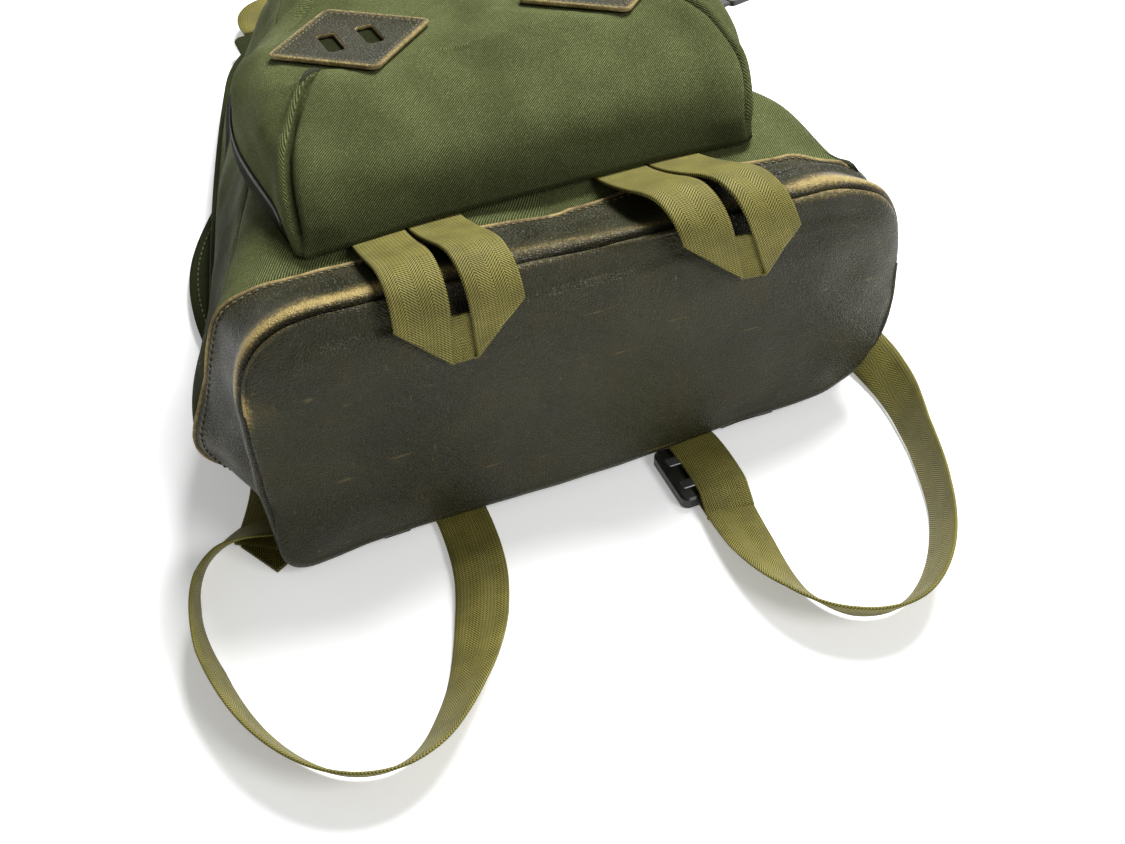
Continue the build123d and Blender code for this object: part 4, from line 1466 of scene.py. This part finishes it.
def make_loop(name, centre, lean, opening):
    """One strip of webbing: down a leg, folded under, across, and folded back up the other leg. lean is
    how far its tip lies to the right of its seam."""
    drape = smooth_line([(0, y, z) for y, z in LOOP_DRAPE], 1.0)
    along = lengths_along(drape)
    outward = np.cross(unit(np.gradient(drape, axis=0)), (1, 0, 0))
    outward *= np.sign(outward[:, 2:] - outward[:, 1:2])
    halves, weave = folded_strip(LOOP_LENGTH, opening)
    shape = Shape()
    for mirror in (1, -1):
        faces = []
        for u, v, layer in (np.moveaxis(half, -1, 0) for half in halves):
            share = np.clip(v / LOOP_LENGTH, 0, 1)
            u = u - np.clip(u / opening * 2, -1, 1) * (opening / 2 - 0.5) * (1 - share)
            u = mirror * u
            sag = 1.5 * hump(share, 0.55, 0.3) * np.cos(u / 19)
            base = between_rows(v + 0.12 * lean * u / 30, along, drape)
            up = between_rows(v, along, outward)
            grid = base + up * (layer + sag - 0.8)[..., None]
            grid[..., 0] = centre + u + lean * share**1.4
            faces.append(grid)
        over, under = faces
        shape.add_grid(over, weave)
        shape.add_grid(under[:, ::-1], weave[:, ::-1])
        for edge in (0, -1):
            rim = np.stack([over[:, edge], under[:, edge]], 0)
            shape.add_grid(rim, np.stack([weave[:, edge]] * 2, 0))
        shape.add_grid(np.stack([over[0], under[0]], 0), np.stack([weave[0]] * 2, 0))
    settle(shape.build(name, [WEBBING], weld=0.05), name, "webbing", name)


make_patch("lash_patch_left", -1)
make_patch("lash_patch_right", 1)
make_loop("lash_loop_left", centre=-70.5, lean=2.0, opening=11.0)
make_loop("lash_loop_right", centre=48.0, lean=24.0, opening=11.0)


# ---------------------------------------------------------------- straps, back pieces and lining


def pillow_section(width, thickness, steps=9):
    """Section of a padded strap: full in the middle, with thin bound edges."""
    half = width / 2
    edge = 4.0
    over = []
    for x in np.linspace(-half + edge, half - edge, steps):
        bulge = (1 - abs(x / (half - edge)) ** 4) * 0.5 + 0.5
        over.append((x, thickness / 2 * bulge))
    under = [(x, -y) for x, y in over[::-1]]
    rim = 1.5
    return [(-half, rim), *over, (half, rim), (half, -rim), *under, (-half, -rim)]


def webbing_run(points, level, spacing, thickness):
    """Flat webbing along a level line, as a shape."""
    path, side, up = flat_path(points, level, spacing)
    return Shape().add(*sweep(path, side, up, strip_section(WEBBING_WIDTH, thickness)))


def make_strap(name, route, lock, tail):
    body = "shoulder_strap_" + name
    level = (STRAP_PAD_TOP + STRAP_PAD_BOTTOM) / 2
    path, side, up = flat_path(route, level, spacing=4.0)
    height = STRAP_PAD_TOP - STRAP_PAD_BOTTOM - 0.6
    shape = Shape().add(*sweep(path, side, up, pillow_section(STRAP_WIDTH - 2, height)))
    for edge in (-1, 1):
        line = path + side * edge * (STRAP_WIDTH / 2 - 6) + up * (height * 0.36)
        stitches(shape, line, up, 1, pitch=4.5, length=3.2)
    pad = shape.build("strap_pad_" + name, [BACK_FABRIC, OLIVE_THREAD])
    settle(pad, body, "back_fabric", "strap_pad_" + name)
    under_pad = (FLOOR + STRAP_PAD_BOTTOM) / 2 + 0.05
    run = webbing_run(route, under_pad, spacing=4.0, thickness=1.4)
    settle(run.build("strap_webbing_" + name, [WEBBING]), body, "webbing", "strap_webbing_" + name)
    end = np.array(route[-1], float)
    tab_end = np.array(lock, float) + (0, 18.6)
    tab = [tuple(end), tuple((end + tab_end) / 2 + (0.6, 0)), tuple(tab_end)]
    run = webbing_run(tab, STRAP_PAD_TOP + 1, spacing=3.0, thickness=WEBBING_THICKNESS)
    settle(run.build("strap_tab_" + name, [WEBBING]), body, "webbing", "strap_tab_" + name)
    path, side, up = flat_path(tail, FLOOR + 0.5, spacing=3.0)
    shape = Shape().add(*sweep(path, side, up, strip_section(WEBBING_WIDTH, 0.9)))
    hem = slice(len(path) - 6, len(path))
    hem_section = strip_section(WEBBING_WIDTH - 0.6, 0.8)
    shape.add(*sweep(path[hem] + up[hem] * 0.75, side[hem], up[hem], hem_section))
    settle(shape.build("strap_tail_" + name, [WEBBING], weld=0), body, "webbing", "strap_tail_" + name)


def make_lead(name, points):
    """The stretch of adjuster webbing that lies over its ladder lock."""
    path = smooth_line(points, 2.5)
    side = np.tile([1.0, 0, 0], (len(path), 1))
    up = unit(np.cross(side, unit(np.gradient(path, axis=0))))
    up *= np.sign(up[:, 2:])
    shape = Shape().add(*sweep(path, side, up, strip_section(WEBBING_WIDTH, ADJUSTER_THICKNESS)))
    piece = shape.build("adjuster_lead_" + name, [WEBBING])
    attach(piece, "ladder_lock_" + name)


def soft_plate(name, outline, low, high):
    """A flat piece of back fabric with rounded edges, sewn to the pack."""
    thickness = high - low
    points, faces, _ = plate([outline], thickness, bevel=min(0.9, thickness * 0.3), voxel=1.2)
    placed = points + np.array([0, 0, low])
    placed[:, 2] += 0.25 * waves(placed, 9, 41) * ((placed[:, 2] - low) > thickness * 0.4)
    settle(Shape().add(placed, faces).build(name, [BACK_FABRIC]), "pack", "back_fabric", name)


# The webbing that anchors the left strap, from inside the pack's lower corner down to the floor
LEFT_ANCHOR = [
    (-134, 60, 1), (-141, 50, 1), (-148, 40, 0), (-152, 33, -4), (-157, 26, -9), (-162, 19, -11.8),
    (-167, 12, -12.6),
]
RIGHT_CORNER_TAB = [(118, 10), (164, 14), (168, 40), (140, 62)]
YOKE_FOOT = 398
YOKE_WIDTH = 128
# The haul loop's route above the crown
HANDLE = [
    (-45.5, 0), (-45.5, 16), (-38, 27), (-20, 32), (0, 33.5), (20, 32), (38, 27), (45.5, 16), (45.5, 0),
]


def make_back_pieces():
    crown = BACK_OUTLINE["crown_centre"] + BACK_OUTLINE["crown_radius"]
    low, high = YOKE_FOOT, crown + 4
    yoke = [(x, y + (low + high) / 2) for x, y in rounded_rectangle(YOKE_WIDTH, high - low, 5)]
    soft_plate("strap_yoke", yoke, low=-3, high=-0.2)
    soft_plate("corner_tab_right", RIGHT_CORNER_TAB, low=-3, high=-0.2)
    path = smooth_line(LEFT_ANCHOR, 2.0)
    forward = unit(np.gradient(path, axis=0))
    side = unit(np.cross(forward, (0, 0, 1)))
    section = strip_section(WEBBING_WIDTH, WEBBING_THICKNESS)
    anchor = Shape().add(*sweep(path, side, np.cross(side, forward), section))
    settle(anchor.build("corner_tab_left", [WEBBING]), "pack", "webbing", "corner_tab_left")
    bottom = crown + 6.3
    path, side, up = flat_path([(x, bottom + y) for x, y in HANDLE], level=-1.5)
    handle = Shape().add(*sweep(path, side, up, strip_section(width=20, thickness=2.6)))
    settle(handle.build("haul_loop", [WEBBING]), "haul_loop", "webbing", "haul_loop")


def close_ends(work):
    bmesh.ops.holes_fill(work, edges=[edge for edge in work.edges if edge.is_boundary])


def make_inside():
    q = np.concatenate([np.linspace(0.1, 1, 30), np.linspace(1, 2, 30)[1:]])
    rows = []
    for level, inset, share in (
        *[(3.4, 29, s) for s in np.linspace(1, 0, 12)], (4.6, 27.2, 0), (7.2, 26.4, 0), (9.6, 27.2, 0),
        *[(10.8, 29, s) for s in np.linspace(0, 1, 12)],
    ):
        rows.append(whole_row(q, 0, level, inset, share))
    grid = np.array(rows)
    shape = Shape().add_grid(grid)
    pad = shape.build("back_pad", [FOAM])
    with_bmesh(pad.data, close_ends)
    settle(pad, "pack", "foam", "back_pad")
    low, high = (np.array(corner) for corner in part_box("book_sleeve"))
    low, high = (low - ORIGIN) * 1000, (high - ORIGIN) * 1000
    x, y = np.meshgrid(np.linspace(low[0], high[0], 50), np.linspace(low[1], high[1], 56))
    level = (low[2] + high[2]) / 2
    points = np.stack([x, y, np.full_like(x, level)], -1)
    points[..., 2] += 1.0 * waves(points, 40, 51)
    sleeve = Shape().add_grid(points).build("book_sleeve", [LINING, LINING])
    thicken(sleeve, 1.4, levels=0)
    settle(sleeve, "pack", "lining", "book_sleeve")


make_lead("left", LEFT_LEAD)
make_lead("right", RIGHT_LEAD)
make_strap("left", LEFT_STRAP, LEFT_LOCK, LEFT_TAIL)
make_strap("right", RIGHT_STRAP, RIGHT_LOCK, RIGHT_TAIL)
make_back_pieces()
make_inside()

CARRIED_OVER = {
    "base_board": BOARD,
    "ladder_lock_left": BUCKLE,
    "ladder_lock_right": BUCKLE,
    "main_slider_left": ZIP_METAL,
    "main_slider_right": ZIP_METAL,
    "pocket_slider": ZIP_METAL,
    "main_pull_left": PULL,
    "main_pull_right": PULL,
    "pocket_pull": PULL,
}
for node, material in CARRIED_OVER.items():
    kept = bpy.data.objects[node]
    kept.data.materials.clear()
    kept.data.materials.append(material)


# ---------------------------------------------------------------- floor and light


WHITE = (1, 1, 1, 1)
LIT = (0, 0, 0.05)  # the point the lamps face
SKY = 0.2
FLOOR_GLOW = 0.32


def area_light(name, place, size, power):
    light = bpy.data.lights.new(name, "AREA")
    light.shape = "DISK"
    light.size = size
    light.energy = power
    lamp = link(bpy.data.objects.new(name, light))
    lamp.location = place
    lamp.rotation_euler = (Vector(LIT) - Vector(place)).to_track_quat("-Z", "Y").to_euler()


def make_studio():
    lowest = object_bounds()[0][2]
    bpy.ops.mesh.primitive_plane_add(size=24, location=(0, 0, lowest - 0.0002))
    floor = bpy.context.object
    floor.name = "floor"
    f = Finish("floor")
    f.shader.inputs["Emission Color"].default_value = WHITE
    tone = f.mix(f.noise(3, 2, 0.5), (0.93, 0.93, 0.93, 1), (0.95, 0.95, 0.95, 1))
    finish = f.done(tone, 0.9, Specular_IOR_Level=0.1, Emission_Strength=FLOOR_GLOW)
    floor.data.materials.append(finish)
    world = bpy.data.worlds.new("studio")
    world.use_nodes = True
    colour, strength = world.node_tree.nodes["Background"].inputs[:2]
    colour.default_value = WHITE
    strength.default_value = SKY
    bpy.context.scene.world = world
    area_light("key", (0.85, 0.6, 1.85), size=1.0, power=82)
    area_light("front", (0.6, -1.35, 1.25), size=0.7, power=13)
    bpy.context.scene.view_settings.view_transform = "Standard"


make_studio()
